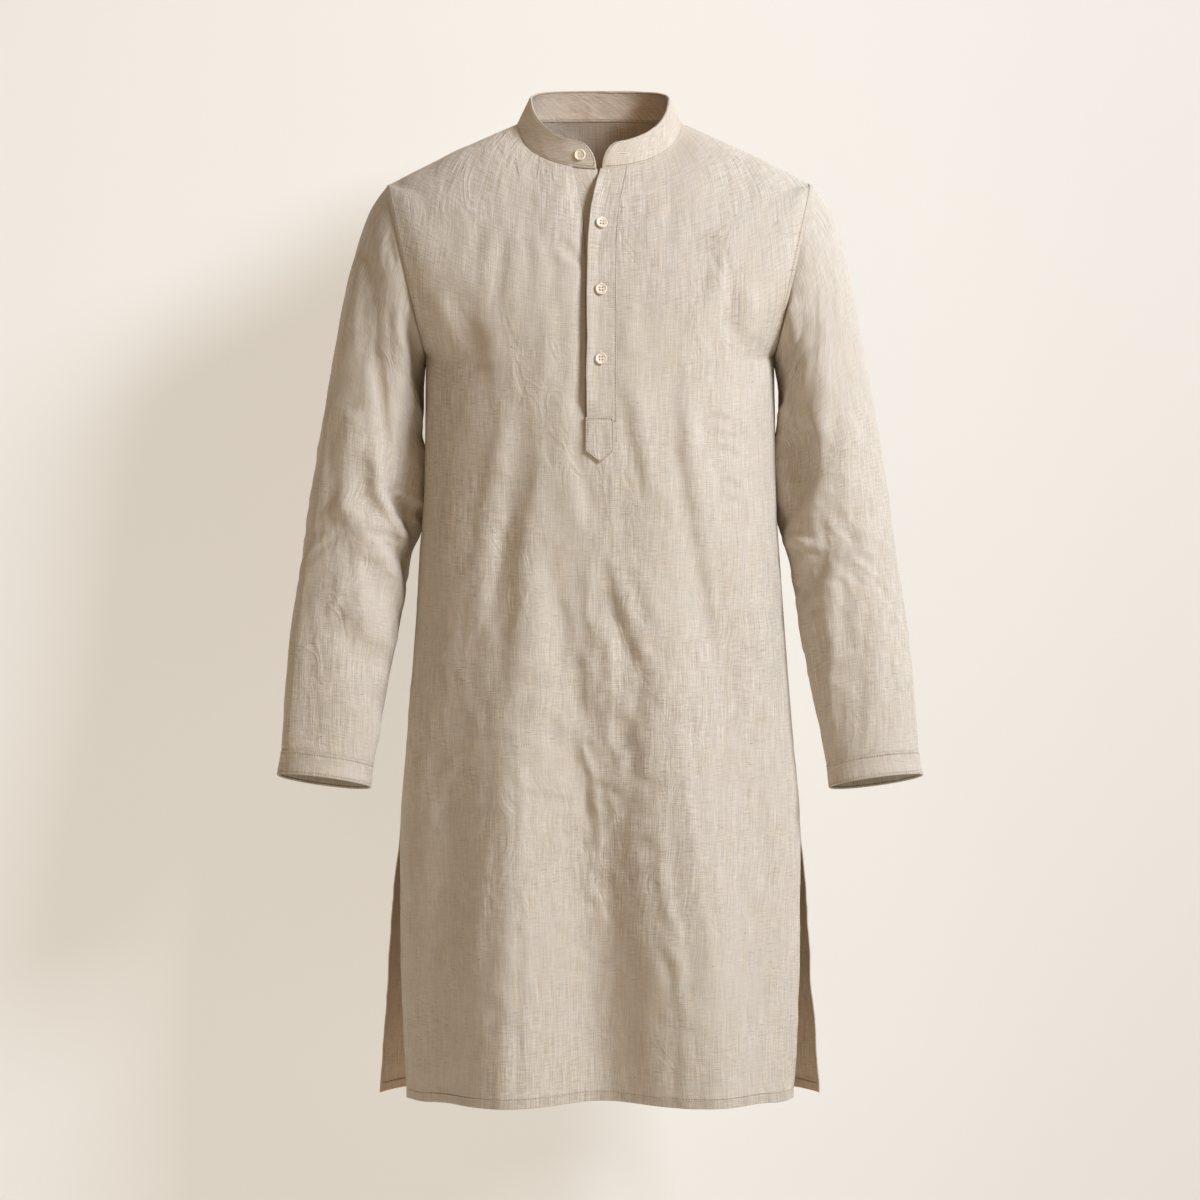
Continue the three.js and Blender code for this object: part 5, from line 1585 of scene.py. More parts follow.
SLEEVE_FOLDS = {
    Arm.RIGHT: table(
        SleeveFold,
        ((235, 66), (335, 72), 12, 4),
        ((330, 74), (430, 165), 15, 5),
        ((330, 112), (395, 165), 13, -4),
        ((60, 60), (235, 108), 17, -4),
        ((90, 34), (600, 40), 20, 7),
        ((90, 132), (320, 140), 14, -5),
        ((225, 180), (345, 180), 22, 7.0),
        ((345, 285), (400, 205), 15, 4),
    ),
    Arm.LEFT: table(
        SleeveFold,
        ((110, 128), (330, 136), 14, -5),
        ((130, 96), (330, 70), 20, 5),
        ((225, 180), (340, 180), 22, 6.8),
        ((250, 60), (335, 118), 15, 4),
        ((338, 66), (425, 158), 14, -4),
        ((375, 52), (430, 120), 14, 4),
        ((70, 120), (170, 132), 15, -3.5),
        ((340, 290), (405, 215), 15, 4),
    ),
}

# Creases of each sleeve's front and back, in distance from the body's middle and drop.
SLEEVE_CREASES = {
    (Arm.RIGHT, Face.FRONT): creases(
        (6, 5.0, (194, 172), (188, 205), (180, 245), (160, 322)),
        (6, 4.4, (210, 205), (204, 250), (193, 295), (180, 338)),
        (5, -4.0, (200, 190), (192, 232), (180, 285), (166, 330)),
        (6, -2.4, (222, 190), (216, 240), (206, 290)),
        (3, 1.6, (214, 118), (208, 132), (204, 150)),
        (3, -1.4, (222, 124), (216, 140), (212, 160)),
        (7, 2.0, (240, 250), (236, 300), (238, 350)),
        (6.5, 5.0, (236, 340), (232, 380), (214, 430), (192, 462)),
        (7, -2.4, (246, 350), (244, 390), (232, 430)),
        (3.6, -3.6, (216, 404), (200, 412), (180, 424)),
        (3.4, -2.8, (252, 437), (232, 441), (208, 452)),
        (3.2, -2.4, (238, 450), (224, 454), (208, 462)),
        (3.4, 2.2, (230, 424), (214, 430), (200, 440)),
        (9, 3.6, (236, 400), (214, 420), (188, 446)),
        (7, -4.6, (212, 418), (190, 446), (172, 478)),
        (10, -4.0, (278, 516), (252, 556), (220, 584)),
        (10, 2.4, (262, 470), (252, 500), (238, 530)),
        (10, 2.6, (250, 610), (236, 640), (214, 660)),
    ),
    (Arm.LEFT, Face.FRONT): creases(
        (7, -5.2, (192, 180), (187, 212), (177, 250), (160, 280)),
        (7.5, -5.4, (212, 215), (208, 250), (197, 295), (166, 362)),
        (5, 3.0, (184, 285), (176, 310), (164, 334)),
        (3, 1.6, (200, 120), (196, 136), (194, 156)),
        (3, -1.4, (218, 122), (214, 142), (212, 168)),
        (9, 4.2, (200, 326), (200, 358), (194, 392)),
        (10, -6.4, (222, 300), (228, 350), (224, 390), (205, 426), (176, 482)),
        (7, 2.4, (244, 300), (246, 370), (240, 420)),
        (4, 2.2, (206, 443), (218, 446), (232, 453)),
        (3.4, -2.6, (204, 454), (220, 456), (238, 460)),
        (3.2, -2.6, (190, 494), (206, 498), (228, 503)),
        (6, 3.0, (212, 574), (222, 584), (230, 600)),
        (8, -2.8, (240, 590), (236, 620), (226, 650)),
        (12, 3.6, (196, 330), (206, 380), (196, 420), (172, 440)),
        (9, -5.0, (192, 510), (198, 570), (212, 645)),
        (7, 1.8, (252, 470), (254, 540), (262, 620)),
    ),
    (Arm.RIGHT, Face.BACK): creases(
        (7, -3.6, (214, 180), (206, 240), (188, 300)),
        (7, 3.2, (236, 200), (230, 270), (214, 330)),
        (4, -3.4, (206, 408), (228, 400), (250, 380)),
        (4, 3.2, (208, 436), (232, 424), (252, 408)),
        (4, -2.8, (214, 452), (236, 450), (256, 440)),
        (8, 2.0, (262, 480), (256, 560), (268, 630)),
    ),
    (Arm.LEFT, Face.BACK): creases(
        (7, 3.4, (210, 176), (204, 236), (184, 304)),
        (7, -3.4, (238, 210), (228, 276), (210, 338)),
        (4, -3.2, (202, 406), (226, 404), (248, 392)),
        (4, 3.0, (206, 440), (230, 430), (254, 416)),
        (4, -2.6, (216, 466), (240, 462), (258, 452)),
        (8, -2.0, (258, 490), (252, 560), (262, 620)),
    ),
}


@dataclass
class Sleeve:
    """One sleeve with its cuff, built for the wearer's left and mirrored for the right.

    Attributes:
        arm: Which sleeve.
        length: Length along the arm to the cuff.
        cuff_length: Length of the cuff.
        cell: Spacing of the grid.
        wall: Cloth thickness of the sleeve.
        cuff_wall: Thickness of the cuff.
        fold_radius: Radius that turns of a fold are measured on.
        crease_gain: How strongly its creases are pressed.
    """

    arm: Arm
    length: float = 613.0
    cuff_length: float = 25.0
    cell: float = 3.2
    wall: float = 0.9
    cuff_wall: float = 2.0
    fold_radius: float = 58.0
    crease_gain: float = 2.0

    def ring(self, along: Array) -> tuple[Array, Array, Array]:
        """Outer point, inner point and forward half depth of the ring at each distance."""
        columns = [name for name in SleeveRow.__dataclass_fields__ if name != "along"]
        value = {name: follow(SLEEVE, "along", name, along) for name in columns}
        share = 1.0 - smoothstep(along, 0.0, 60.0)
        outer_y = value["y"] + (BODY.shoulder_tip[1] - 2.0) * share
        inner_y = value["y"] + (BODY.armpit[1] - 2.0) * share
        outer = np.stack([value["outer_x"], outer_y, value["outer_z"]], axis=-1)
        inner = np.stack([value["inner_x"], inner_y, value["inner_z"]], axis=-1)
        tilt = np.radians(value["tilt"])
        forward = np.stack([np.zeros_like(tilt), -np.cos(tilt), np.sin(tilt)], axis=-1) * value["depth"][..., None]
        return outer, inner, forward

    def fold_rise(self, along: Array, turn: Array) -> Array:
        """Rise of the sleeve's larger folds: bells about straight runs on the unrolled cloth."""
        around = np.radians(turn) * self.fold_radius
        rise = np.zeros(np.broadcast(along, turn).shape)
        for fold in SLEEVE_FOLDS[self.arm]:
            start = np.array([fold.start[0], math.radians(fold.start[1]) * self.fold_radius])
            run = np.array([fold.end[0], math.radians(fold.end[1]) * self.fold_radius]) - start
            share = ((along - start[0]) * run[0] + (around - start[1]) * run[1]) / (run @ run)
            share = np.clip(share, 0.0, 1.0)
            away = np.hypot(along - start[0] - run[0] * share, around - start[1] - run[1] * share)
            rise = rise + fold.rise * bell(away, fold.width)
        return rise * smoothstep(along, 0.0, 60.0)

    def plain_point(self, along: Array, turn: Array) -> Array:
        """Points of the sleeve with its larger folds: turn 0 is the outer side and 90 the front."""
        along, turn = np.broadcast_arrays(along, turn)
        outer, inner, forward = self.ring(along)
        angle = np.radians(turn)[..., None]
        out = (outer - inner) / 2 * np.cos(angle) + forward * np.sin(angle)
        rise = self.fold_rise(along, np.mod(turn, 360.0))
        return (outer + inner) / 2 + out + unit(out) * rise[..., None]

    def surface(self, along: Array, turns: Array) -> tuple[Array, Array]:
        """Finished outer points and normals of the sleeve's cloth.

        Args:
            along: Distance of each ring.
            turns: Turn of each column, the last one turn after the first.

        Returns:
            Points and outward normals.
        """
        grid_along, grid_turn = np.meshgrid(along, turns, indexing="ij")
        points = self.plain_point(grid_along, grid_turn)
        normals = self.closed_normals(points)
        seed = 31 if self.arm is Arm.LEFT else 41
        x, drop = wandered(points[..., 0], -points[..., 2], seed + 4)
        height = np.zeros(x.shape)
        for face in Face:
            toward = -normals[..., 1] if face is Face.FRONT else normals[..., 1]
            creases = crease_height(SLEEVE_CREASES[self.arm, face], x, drop)
            height += creases * smoothstep(toward, -0.15, 0.3) * self.arm.value * self.crease_gain
        angle = np.radians(grid_turn)
        rim_x, rim_y = np.cos(angle) * 3.2, np.sin(angle) * 3.2
        slow = cloth_noise(rim_x + grid_along / 85.0, rim_y + grid_along / 260.0, seed)
        small = cloth_noise(rim_x * 2.6 + grid_along / 40.0, rim_y * 2.6 - grid_along / 90.0, seed + 1, 2)
        busy = 0.25 + 0.75 * bell(grid_along - 390.0, 100.0)
        across, down = rim_x * 0.9 - grid_along / 50.0, rim_y * 0.9 + grid_along / 26.0
        wrinkle = 1.0 - 2.4 * np.abs(cloth_noise(across, down, seed + 2, 2))
        height = height + slow * 2.2 + small * 0.4 + wrinkle * busy * 1.3
        calm = smoothstep(grid_along, 1.0, 12.0) * (1.0 - smoothstep(grid_along, self.length - 20.0, self.length - 1.0))
        gather = -0.4 * bell(grid_along, 2.0) - 0.5 * bell(grid_along - self.length, 1.5)
        points = points + normals * (height * calm + gather)[..., None]
        return points, self.closed_normals(points)

    @staticmethod
    def closed_normals(points: Array) -> Array:
        """Outward normals of a grid whose last column is its first again."""
        wrapped = np.concatenate([points[:, -2:-1], points, points[:, 1:2]], axis=1)
        return grid_normals(wrapped, 1.0)[:, 1:-1]

    def placed(self, grid: Array) -> Array:
        """The grid on its own side of the body."""
        return grid * np.array([float(self.arm.value), 1.0, 1.0])

    def around(self, points: Array, turns: Array) -> Array:
        """Distance round each ring from its outer side, along the cloth."""
        steps = run_along(points)
        return steps - steps[:, [int(np.argmin(np.abs(turns)))]]

    def build(self, finishes: Finishes, stitches: StitchRun) -> None:
        """Makes the sleeve and its cuff, with their stitches.

        Args:
            finishes: The materials.
            stitches: The run that the stitches join.
        """
        side = self.arm.name.lower()
        turns = np.linspace(-180.0, 180.0, 129)
        along = self.length * ladder(self.length, self.cell)
        points, normals = self.surface(along, turns)
        gap = gap_to_edges(points, "top bottom")
        offset = (3000.0 if self.arm is Arm.LEFT else 4200.0, 300.0)
        down = -np.repeat(along[:, None], len(turns), axis=1)
        uv = np.stack([self.around(points, turns), down], axis=-1) + offset
        points, normals = self.placed(points), self.placed(normals)
        piece = ClothShell(f"sleeve_{side}_cloth", points, normals, self.wall, gap, uv, closed=True).dressed(finishes)
        self.cuff(finishes, stitches, side, turns, offset)

    def cuff(
        self, finishes: Finishes, stitches: StitchRun, side: str, turns: Array, offset: tuple[float, float]
    ) -> None:
        """Makes the cuff: a doubled band that stands a little proud of the sleeve."""
        start = self.length - 0.4
        along = start + (self.cuff_length + 0.4) * ladder(self.cuff_length, 1.9, (0.15, 0.45, 0.9, 1.4))
        grid_along, grid_turn = np.meshgrid(along, turns, indexing="ij")
        points = self.plain_point(grid_along, grid_turn)
        normals = self.closed_normals(points)
        angle = np.radians(grid_turn)
        ripple = cloth_noise(np.cos(angle) * 4.0 + grid_along / 30.0, np.sin(angle) * 4.0, 57, 2) * 0.5
        depth = grid_along - self.length
        groove = -0.35 * bell(depth - 3.0, 0.8) - 0.3 * bell(depth - self.cuff_length + 2.8, 0.8)
        flare = 0.7 * smoothstep(depth, 4.0, self.cuff_length)
        points = points + normals * (0.45 + ripple + groove + flare)[..., None]
        normals = self.closed_normals(points)
        gap = gap_to_edges(points, "top bottom")
        uv = np.stack([self.around(points, turns), -grid_along], axis=-1) + offset + np.array([40.0, 60.0])
        points, normals = self.placed(points), self.placed(normals)
        seam = np.minimum(depth - 3.0, self.cuff_length - 2.8 - depth)
        shell = ClothShell(f"cuff_{side}_cloth", points, normals, self.cuff_wall, gap, uv, closed=True, seam=seam)
        piece = shell.dressed(finishes)
        surface = ClothSurface(points, normals)
        columns = np.linspace(0.0, len(turns) - 1.0, 240)
        for distance in (3.0, self.cuff_length - 2.8):
            row = np.interp(self.length + distance, along, np.arange(len(along)))
            stitches.across(surface, row, columns)


# ---------- collar band ----------


@dataclass
class CollarBand:
    """Stand collar of two layers, open at the front with rounded ends.

    Attributes:
        top_side: Where the top edge passes the side of the neck.
        top_front: Y and Z of the top edge's front, were it closed.
        top_back: Y and Z of the top edge's back.
        left_end: X of the wearer's left end at the seam, and how far its top is rounded back.
        right_end: The same for the right end.
        wall: Thickness of the band.
        lap: Share of its height by which the band laps over the seam.
        line: Distance of its topstitching from the edges.
    """

    top_side: tuple[float, float, float] = (74.0, -5.0, 28.0)
    top_front: tuple[float, float] = (-71.0, -27.0)
    top_back: tuple[float, float] = (59.0, 42.6)
    left_end: tuple[float, float] = (2.0, 18.0)
    right_end: tuple[float, float] = (-4.0, 21.0)
    wall: float = 2.2
    lap: float = 0.045
    line: float = 2.6

    def point(self, angle: Array, height: Array) -> Array:
        """Points of the band: angle 0 is the front, 90 the wearer's left; height 0 is the seam.

        Each point lies straight between the neck row of the body and the top edge, which is an
        arc of the same kind.
        """
        full = np.mod(angle, 360.0)
        is_back = (full > 90.0) & (full < 270.0)
        from_front = np.where(full > 180.0, 360.0 - full, full)
        turn = np.where(is_back, 180.0 - from_front, from_front) / 90.0
        sign = np.where(full > 180.0, -1.0, 1.0)
        neck = np.full(full.shape, SEAM_LEVELS["neck"])
        swing = turn * math.pi / 2
        grids = {}
        for face, (centre_y, centre_z) in ((Face.FRONT, self.top_front), (Face.BACK, self.top_back)):
            row = BODY.row(face, neck)
            across = np.power(np.sin(swing), 2.0 / row["round"])
            inward = np.clip(np.cos(swing), 0.0, 1.0)
            x = sign * self.top_side[0] * across
            y = self.top_side[1] + (centre_y - self.top_side[1]) * np.power(inward, 2.0 / row["round"])
            z = self.top_side[2] + (centre_z - self.top_side[2]) * soft_power(inward, row["fall"])
            seam = BODY.plain_point(face, neck, sign * turn)
            top = np.stack([x, y, z], axis=-1)
            grids[face] = seam + (top - seam) * height[..., None]
        return np.where(is_back[..., None], grids[Face.BACK], grids[Face.FRONT])

    def angle_at(self, x: float | Array, height: Array) -> Array:
        """Angle at which the band passes an X near the front, in degrees."""
        half = BODY.shoulder_point[0] + (self.top_side[0] - BODY.shoulder_point[0]) * height
        return np.degrees(np.arcsin(x / half))

    def grid(self) -> tuple[Array, Array]:
        """Angles and heights of the grid: each row runs from one rounded end to the other."""
        heights = (1.0 + self.lap) * ladder(34.0, 1.9) - self.lap
        round_off = 1.0 - np.sqrt(np.clip(1.0 - np.maximum(heights, 0.0) ** 2, 0.0, 1.0))
        start = self.angle_at(self.left_end[0] + self.left_end[1] * round_off, heights)
        end = 360.0 + self.angle_at(self.right_end[0] - self.right_end[1] * round_off, heights)
        shares = ladder(480.0, 2.6, (0.15, 0.5, 1.0, 1.8))
        angles = start[:, None] + (end - start)[:, None] * shares
        return angles, np.repeat(heights[:, None], len(shares), axis=1)

    def build(self, finishes: Finishes, stitches: StitchRun) -> ClothSurface:
        """Makes the band and its edge stitching.

        Args:
            finishes: The materials.
            stitches: The run that the stitches join.

        Returns:
            The band's finished surface.
        """
        angles, heights = self.grid()
        points = self.point(angles, heights)
        around = self.point(angles + 0.5, heights) - self.point(angles - 0.5, heights)
        normals = unit(np.cross(around, self.point(angles, heights + 0.02) - self.point(angles, heights - 0.02)))
        gap = gap_to_edges(points)
        wave = cloth_noise(angles / 16.0, heights * 1.4, 71, 2) * 0.8 * smoothstep(heights, 0.0, 0.5)
        soft = cloth_noise(angles / 5.0, heights * 3.0, 72, 2) * 0.25
        dent = -1.0 * bell(angles - 184.0, 1.2) * bell(heights - 0.3, 0.3)
        line = -0.3 * bell(gap - self.line, 0.8)
        points = points + normals * (1.0 + wave + soft + line + dent)[..., None]
        uv = np.stack([run_along(points), heights * 32.0], axis=-1) + np.array([5200.0, 900.0])
        seam = gap - self.line
        # The collar's inner face takes painted shade at a share of 0.4.
        shell = ClothShell("collar_band_cloth", points, normals, self.wall, gap, uv, seam=seam, inside=0.4)
        piece = shell.dressed(finishes)
        surface = ClothSurface(points, normals)
        columns = np.arange(0, points.shape[1])
        bottom = gap_to_edges(points, "top")[:, len(columns) // 2]
        row = np.interp(2.6, bottom, np.arange(len(bottom)))
        stitches.across(surface, row, columns[7:-7].astype(float))
        top = gap_to_edges(points, "bottom")[:, len(columns) // 2]
        row = np.interp(-2.8, -top, np.arange(len(top)))
        stitches.across(surface, row, columns[8:-8].astype(float))
        rows = np.arange(3, int(row))
        for from_right in (False, True):
            sides = gap_to_edges(points, "right" if from_right else "left")
            stitches.along(*surface.line_at_gap(sides, 2.7, rows, from_right))
        return surface


# ---------- placket ----------


@dataclass
class Placket:
    """The two placket strips and the pointed tail.

    Attributes:
        strip_wall: Thickness of the strips.
        lift: Height of the over strip's face above the front.
        under_lift: Height of the under strip's face.
        tail_top, tail_corner, tail_tip: Drops of the tail's top, corners and tip.
        tail_edges: X of its left and right edges and of its tip.
        over_width, under_width: Widths of the two strips.
        inset: Distance of the tail's stitching from its edges.
    """

    strip_wall: float = 1.4
    lift: float = 1.9
    under_lift: float = -1.6
    tail_top: float = 321.8
    tail_corner: float = 357.0
    tail_tip: float = 369.0
    tail_edges: tuple[float, float, float] = (-15.3, 14.5, 0.8)
    over_width: float = 31.0
    under_width: float = 30.0
    inset: float = 1.7

    def strip(self, left: Array, right: Array, levels: Array, columns: Array) -> tuple[Array, Array]:
        """Points and normals over the rows of the front, between two edges that change with the level."""
        x = left[:, None] + (right - left)[:, None] * columns
        grid = np.repeat(levels[:, None], len(columns), axis=1)
        return BODY.folded(Face.FRONT, grid, BODY.turn_at(Face.FRONT, grid, x))

    def over(self, finishes: Finishes, stitches: StitchRun) -> ClothSurface:
        """The strip that shows: its free edge stands off a little and wavers."""
        length, width = PLACKET.over_end - PLACKET.strip_start, self.over_width
        levels = PLACKET.strip_start + length * ladder(length, 2.6)
        spread = PLACKET.spread_at(levels)
        columns = ladder(width, 1.6)
        free_edge = PLACKET.over_free + spread + cloth_noise(levels / 34.0, levels * 0, 83, 2) * 0.7
        points, normals = self.strip(free_edge, PLACKET.over_sewn + spread * 0.85, levels, columns)
        down, share = levels[:, None], columns[None, :]
        free = 1.0 - smoothstep(share, 0.0, 0.45)
        ends = smoothstep(down, 56.0, 75.0) * (1.0 - smoothstep(down, 296.0, 319.0))
        stand = free * ends * (2.9 + 0.9 * cloth_noise(down / 42.0, down * 0 + 3.0, 81, 2))
        pull = np.zeros(stand.shape)
        for centre in (116.0, 187.0, 260.0):
            across = (share - 0.51) * width
            pull = pull - 1.0 * np.exp(-((down - centre) / 11.0) ** 2 - (across / 9.0) ** 2)
            below = np.exp(-(((down - centre - 30.0) / 19.0) ** 2) - ((across + 0.5) / 5.0) ** 2)
            pull = pull + 0.5 * below
        line = (1.0 - share) * width - 1.4
        uneven = cloth_noise(share * width / 13.0, down / 30.0, 82, 2) * 0.3
        settle = 0.15 + 0.85 * smoothstep(down, 54.0, 66.0)
        height = self.lift * settle + stand + pull + -0.35 * bell(line, 0.7) + uneven
        lifted = points + normals * height[..., None]
        outward = grid_normals(lifted, -1.0)
        uv = np.stack(np.broadcast_arrays(share * width + 5600.0, -down), axis=-1)
        gap = gap_to_edges(lifted)
        shell = ClothShell("placket_over_cloth", lifted, outward, self.strip_wall, gap, uv, seam=line)
        piece = shell.dressed(finishes)
        surface = ClothSurface(lifted, outward)
        column = np.interp(1.0 - 1.4 / width, columns, np.arange(len(columns)))
        stitches.down(surface, np.arange(4, len(levels) - 3, dtype=float), column)
        return surface

    def under(self, finishes: Finishes) -> None:
        """The strip behind the opening, sewn to the wearer's right edge."""
        length, width = PLACKET.under_end - PLACKET.strip_start, self.under_width
        levels = PLACKET.strip_start + length * ladder(length, 4.0)
        spread = PLACKET.spread_at(levels)
        columns = ladder(width, 2.4)
        sewn_edge = PLACKET.cut_right - spread - PLACKET.strip_lap
        points, normals = self.strip(sewn_edge, PLACKET.under_free - spread * 1.08, levels, columns)
        down, share = levels[:, None], columns[None, :]
        uneven = cloth_noise(share * 2.2, down / 34.0, 91, 2) * 0.35
        sunk = PLACKET.valley(points[..., 0], np.repeat(down, len(columns), axis=1))
        lifted = points + normals * (self.under_lift + uneven + sunk)[..., None]
        outward = grid_normals(lifted, -1.0)
        uv = np.stack(np.broadcast_arrays(share * width + 5900.0, -down), axis=-1)
        gap = gap_to_edges(lifted)
        piece = ClothShell("placket_under_cloth", lifted, outward, self.strip_wall, gap, uv).dressed(finishes)

    def tail(self, finishes: Finishes, stitches: StitchRun) -> None:
        """The pointed tail that covers the strips' feet, stitched all round."""
        left, right, tip = self.tail_edges
        columns = ladder(30.0, 1.8)
        x = left + (right - left) * columns
        point = np.where(x < tip, (x - left) / (tip - left), (right - x) / (right - tip))
        foot = self.tail_corner + (self.tail_tip - self.tail_corner) * point
        rows = ladder(45.0, 2.4)
        levels = self.tail_top + (foot[None, :] - self.tail_top) * rows[:, None]
        grid_x = np.repeat(x[None, :], len(rows), axis=0)
        points, normals = BODY.folded(Face.FRONT, levels, BODY.turn_at(Face.FRONT, levels, grid_x))
        gap = gap_to_edges(points)
        groove = -0.45 * bell(gap - self.inset, 0.8)
        uneven = cloth_noise(grid_x / 9.0, levels / 16.0, 95, 2) * 0.3
        lifted = points + normals * (self.lift + 1.3 + groove + uneven)[..., None]
        outward = grid_normals(lifted, -1.0)
        uv = np.stack([grid_x + 6100.0, -levels], axis=-1)
        wall, seam = self.strip_wall + 0.8, gap - self.inset
        piece = ClothShell("placket_tail_cloth", lifted, outward, wall, gap, uv, seam=seam).dressed(finishes)
        surface = ClothSurface(lifted, outward)
        place = np.interp(self.inset / 30.0, columns, np.arange(len(columns)))
        middle = np.arange(2, len(columns) - 2, dtype=float)
        for share in (self.inset / 40.0, 2.6 * self.inset / 40.0, 1.0 - self.inset / 40.0):
            stitches.across(surface, np.interp(share, rows, np.arange(len(rows))), middle)
        inner = np.arange(3, len(rows) - 3, dtype=float)
        for column in (place, len(columns) - 1 - place):
            stitches.down(surface, inner, column)


@dataclass
class Button:
    """A sewn button: a dished disc with a rolled rim, four holes and two bars of thread.

    Attributes:
        name: CAD node that it stands for.
        radius: Half its diameter.
        thickness: Its thickness.
        hole: Radius of a thread hole.
        offset: Distance of a hole from the button's two middle lines.
    """

    name: str
    radius: float = 6.2
    thickness: float = 2.8
    hole: float = 0.82
    offset: float = 1.42

    def frame(self, normal: Array) -> Matrix:
        """The button's place: the middle of its CAD node's box, facing along the normal."""
        low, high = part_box(self.name)
        outward = Vector(normal)
        across = Vector((1.0, 0.0, 0.0))
        across = (across - outward * across.dot(outward)).normalized()
        up = outward.cross(across)
        turn = Matrix((across, up, outward)).transposed().to_4x4()
        return Matrix.Translation((low + high) / 2) @ turn

    def profile(self) -> Array:
        """Half section as radius and height: a flat back, a round rim and a dish with a flat middle."""
        half = self.thickness / 2
        angle = np.linspace(-math.pi / 2, math.pi / 2, 9)
        rim = np.stack([self.radius - half * 0.62 + half * 0.62 * np.cos(angle), half * np.sin(angle)], axis=1)
        dish = np.array([[4.9, 0.93], [4.45, 0.62], [4.1, 0.42], [3.4, 0.34], [1.7, 0.32]]) * (1.0, half)
        back = np.array([[3.6, -half]])
        return np.vstack([back, rim, dish])

    def disc(self) -> bpy.types.Object:
        """The turned disc with its four holes cut through."""
        section = self.profile()
        sides = 48
        angle = np.arange(sides) * 2 * math.pi / sides
        across, up = section[:, :1] * np.cos(angle), section[:, :1] * np.sin(angle)
        rings = np.stack([across, up, np.repeat(section[:, 1:], sides, axis=1)], axis=-1)
        poles = np.array([[0.0, 0.0, section[0, 1]], [0.0, 0.0, section[-1, 1]]])
        vertices = np.concatenate([rings.reshape(-1, 3), poles])
        mesh = bpy.data.meshes.new(self.name)
        base = len(rings.reshape(-1, 3))
        last = (len(section) - 1) * sides
        faces = tube_quads(len(section) - 1, sides).tolist()
        faces += [[base, (k + 1) % sides, k] for k in range(sides)]
        faces += [[base + 1, last + k, last + (k + 1) % sides] for k in range(sides)]
        mesh.from_pydata((vertices * MM).tolist(), [], faces)
        disc = linked(f"{self.name}_disc", mesh)
        for across in (-1, 1):
            for up in (-1, 1):
                self.drill(disc, across * self.offset, up * self.offset)
        return disc

    def drill(self, disc: bpy.types.Object, x: float, y: float) -> None:
        """Cuts one thread hole."""
        place = (x * MM, y * MM, 0)
        bpy.ops.mesh.primitive_cylinder_add(vertices=20, radius=self.hole * MM, depth=8 * MM, location=place)
        cutter = bpy.context.active_object
        cut = disc.modifiers.new("hole", "BOOLEAN")
        cut.operation, cut.object, cut.solver = "DIFFERENCE", cutter, "EXACT"
        bpy.context.view_layer.objects.active = disc
        bpy.ops.object.modifier_apply(modifier=cut.name)
        bpy.data.objects.remove(cutter)

    def thread(self, name: str, place: Matrix) -> bpy.types.Object:
        """Two bars of doubled thread, deep in the holes."""
        angle = np.arange(8) * math.pi / 4
        t = np.linspace(-1.0, 1.0, 9)
        vertices, faces = [], []
        for up in (-1, 1):
            for strand in (-0.2, 0.2):
                middle = [t * self.offset * 1.1, np.full(9, up * self.offset + strand), -1.15 - 0.2 * np.abs(t) ** 4]
                section = np.stack([np.zeros(8), np.cos(angle), np.sin(angle)], axis=1)
                ring = np.stack(middle, axis=1)[:, None, :] + 0.15 * section[None]
                faces.append(len(vertices) * 72 + tube_quads(8, 8))
                vertices.append(ring.reshape(-1, 3))
        bars = mesh_object(name, np.concatenate(vertices) * MM, np.concatenate(faces))
        bars.data.transform(place)
        return bars

    def build(self, finishes: Finishes, normal: Array) -> None:
        """Makes the button and its thread."""
        place = self.frame(normal)
        disc = self.disc()
        disc.data.transform(place)
        disc.data.polygons.foreach_set("use_smooth", np.ones(len(disc.data.polygons), bool))
        disc.data.set_sharp_from_angle(angle=math.radians(40))
        dress(disc, finishes.button, (self.name,))
        dress(self.thread(f"{self.name}_thread", place), finishes.thread)


@dataclass
class Buttonhole:
    """A worked buttonhole: a slit of painted shadow inside a border of close satin stitches.

    Attributes:
        length: Length over all.
        width: Width over all.
    """

    length: float = 15.5
    width: float = 2.7

    def lay(self, centre: Array, course: Array, normal: Array, border: StitchRun, slit: StitchRun) -> None:
        """Adds the hole to the joined meshes.

        Args:
            centre: Middle of the hole on the cloth.
            course: Direction of its length.
            normal: Outward normal there.
            border: Run that takes the satin stitches.
            slit: Run that takes the slit's painted shadow.
        """
        across = unit(np.cross(course, normal))
        at = np.linspace(-0.5, 0.5, 34)[:, None] * self.length * 0.86
        for side in (-1.0, 1.0):
            border.add(centre + course * at + across * side * self.width * 0.3 + normal * 0.12, across, normal)
        for end in (-1.0, 1.0):
            bars = centre + course * end * self.length * (0.44 + 0.02 * np.arange(4))[:, None]
            for side in (-0.55, 0.55):
                border.add(bars + across * side + normal * 0.16, across, normal)
        # Dark bars of painted shadow along the slit.
        spots = centre + course * np.linspace(-0.36, 0.36, 7)[:, None] * self.length
        slit.add(spots + normal * 0.1, course, normal)


# ---------- studio ----------


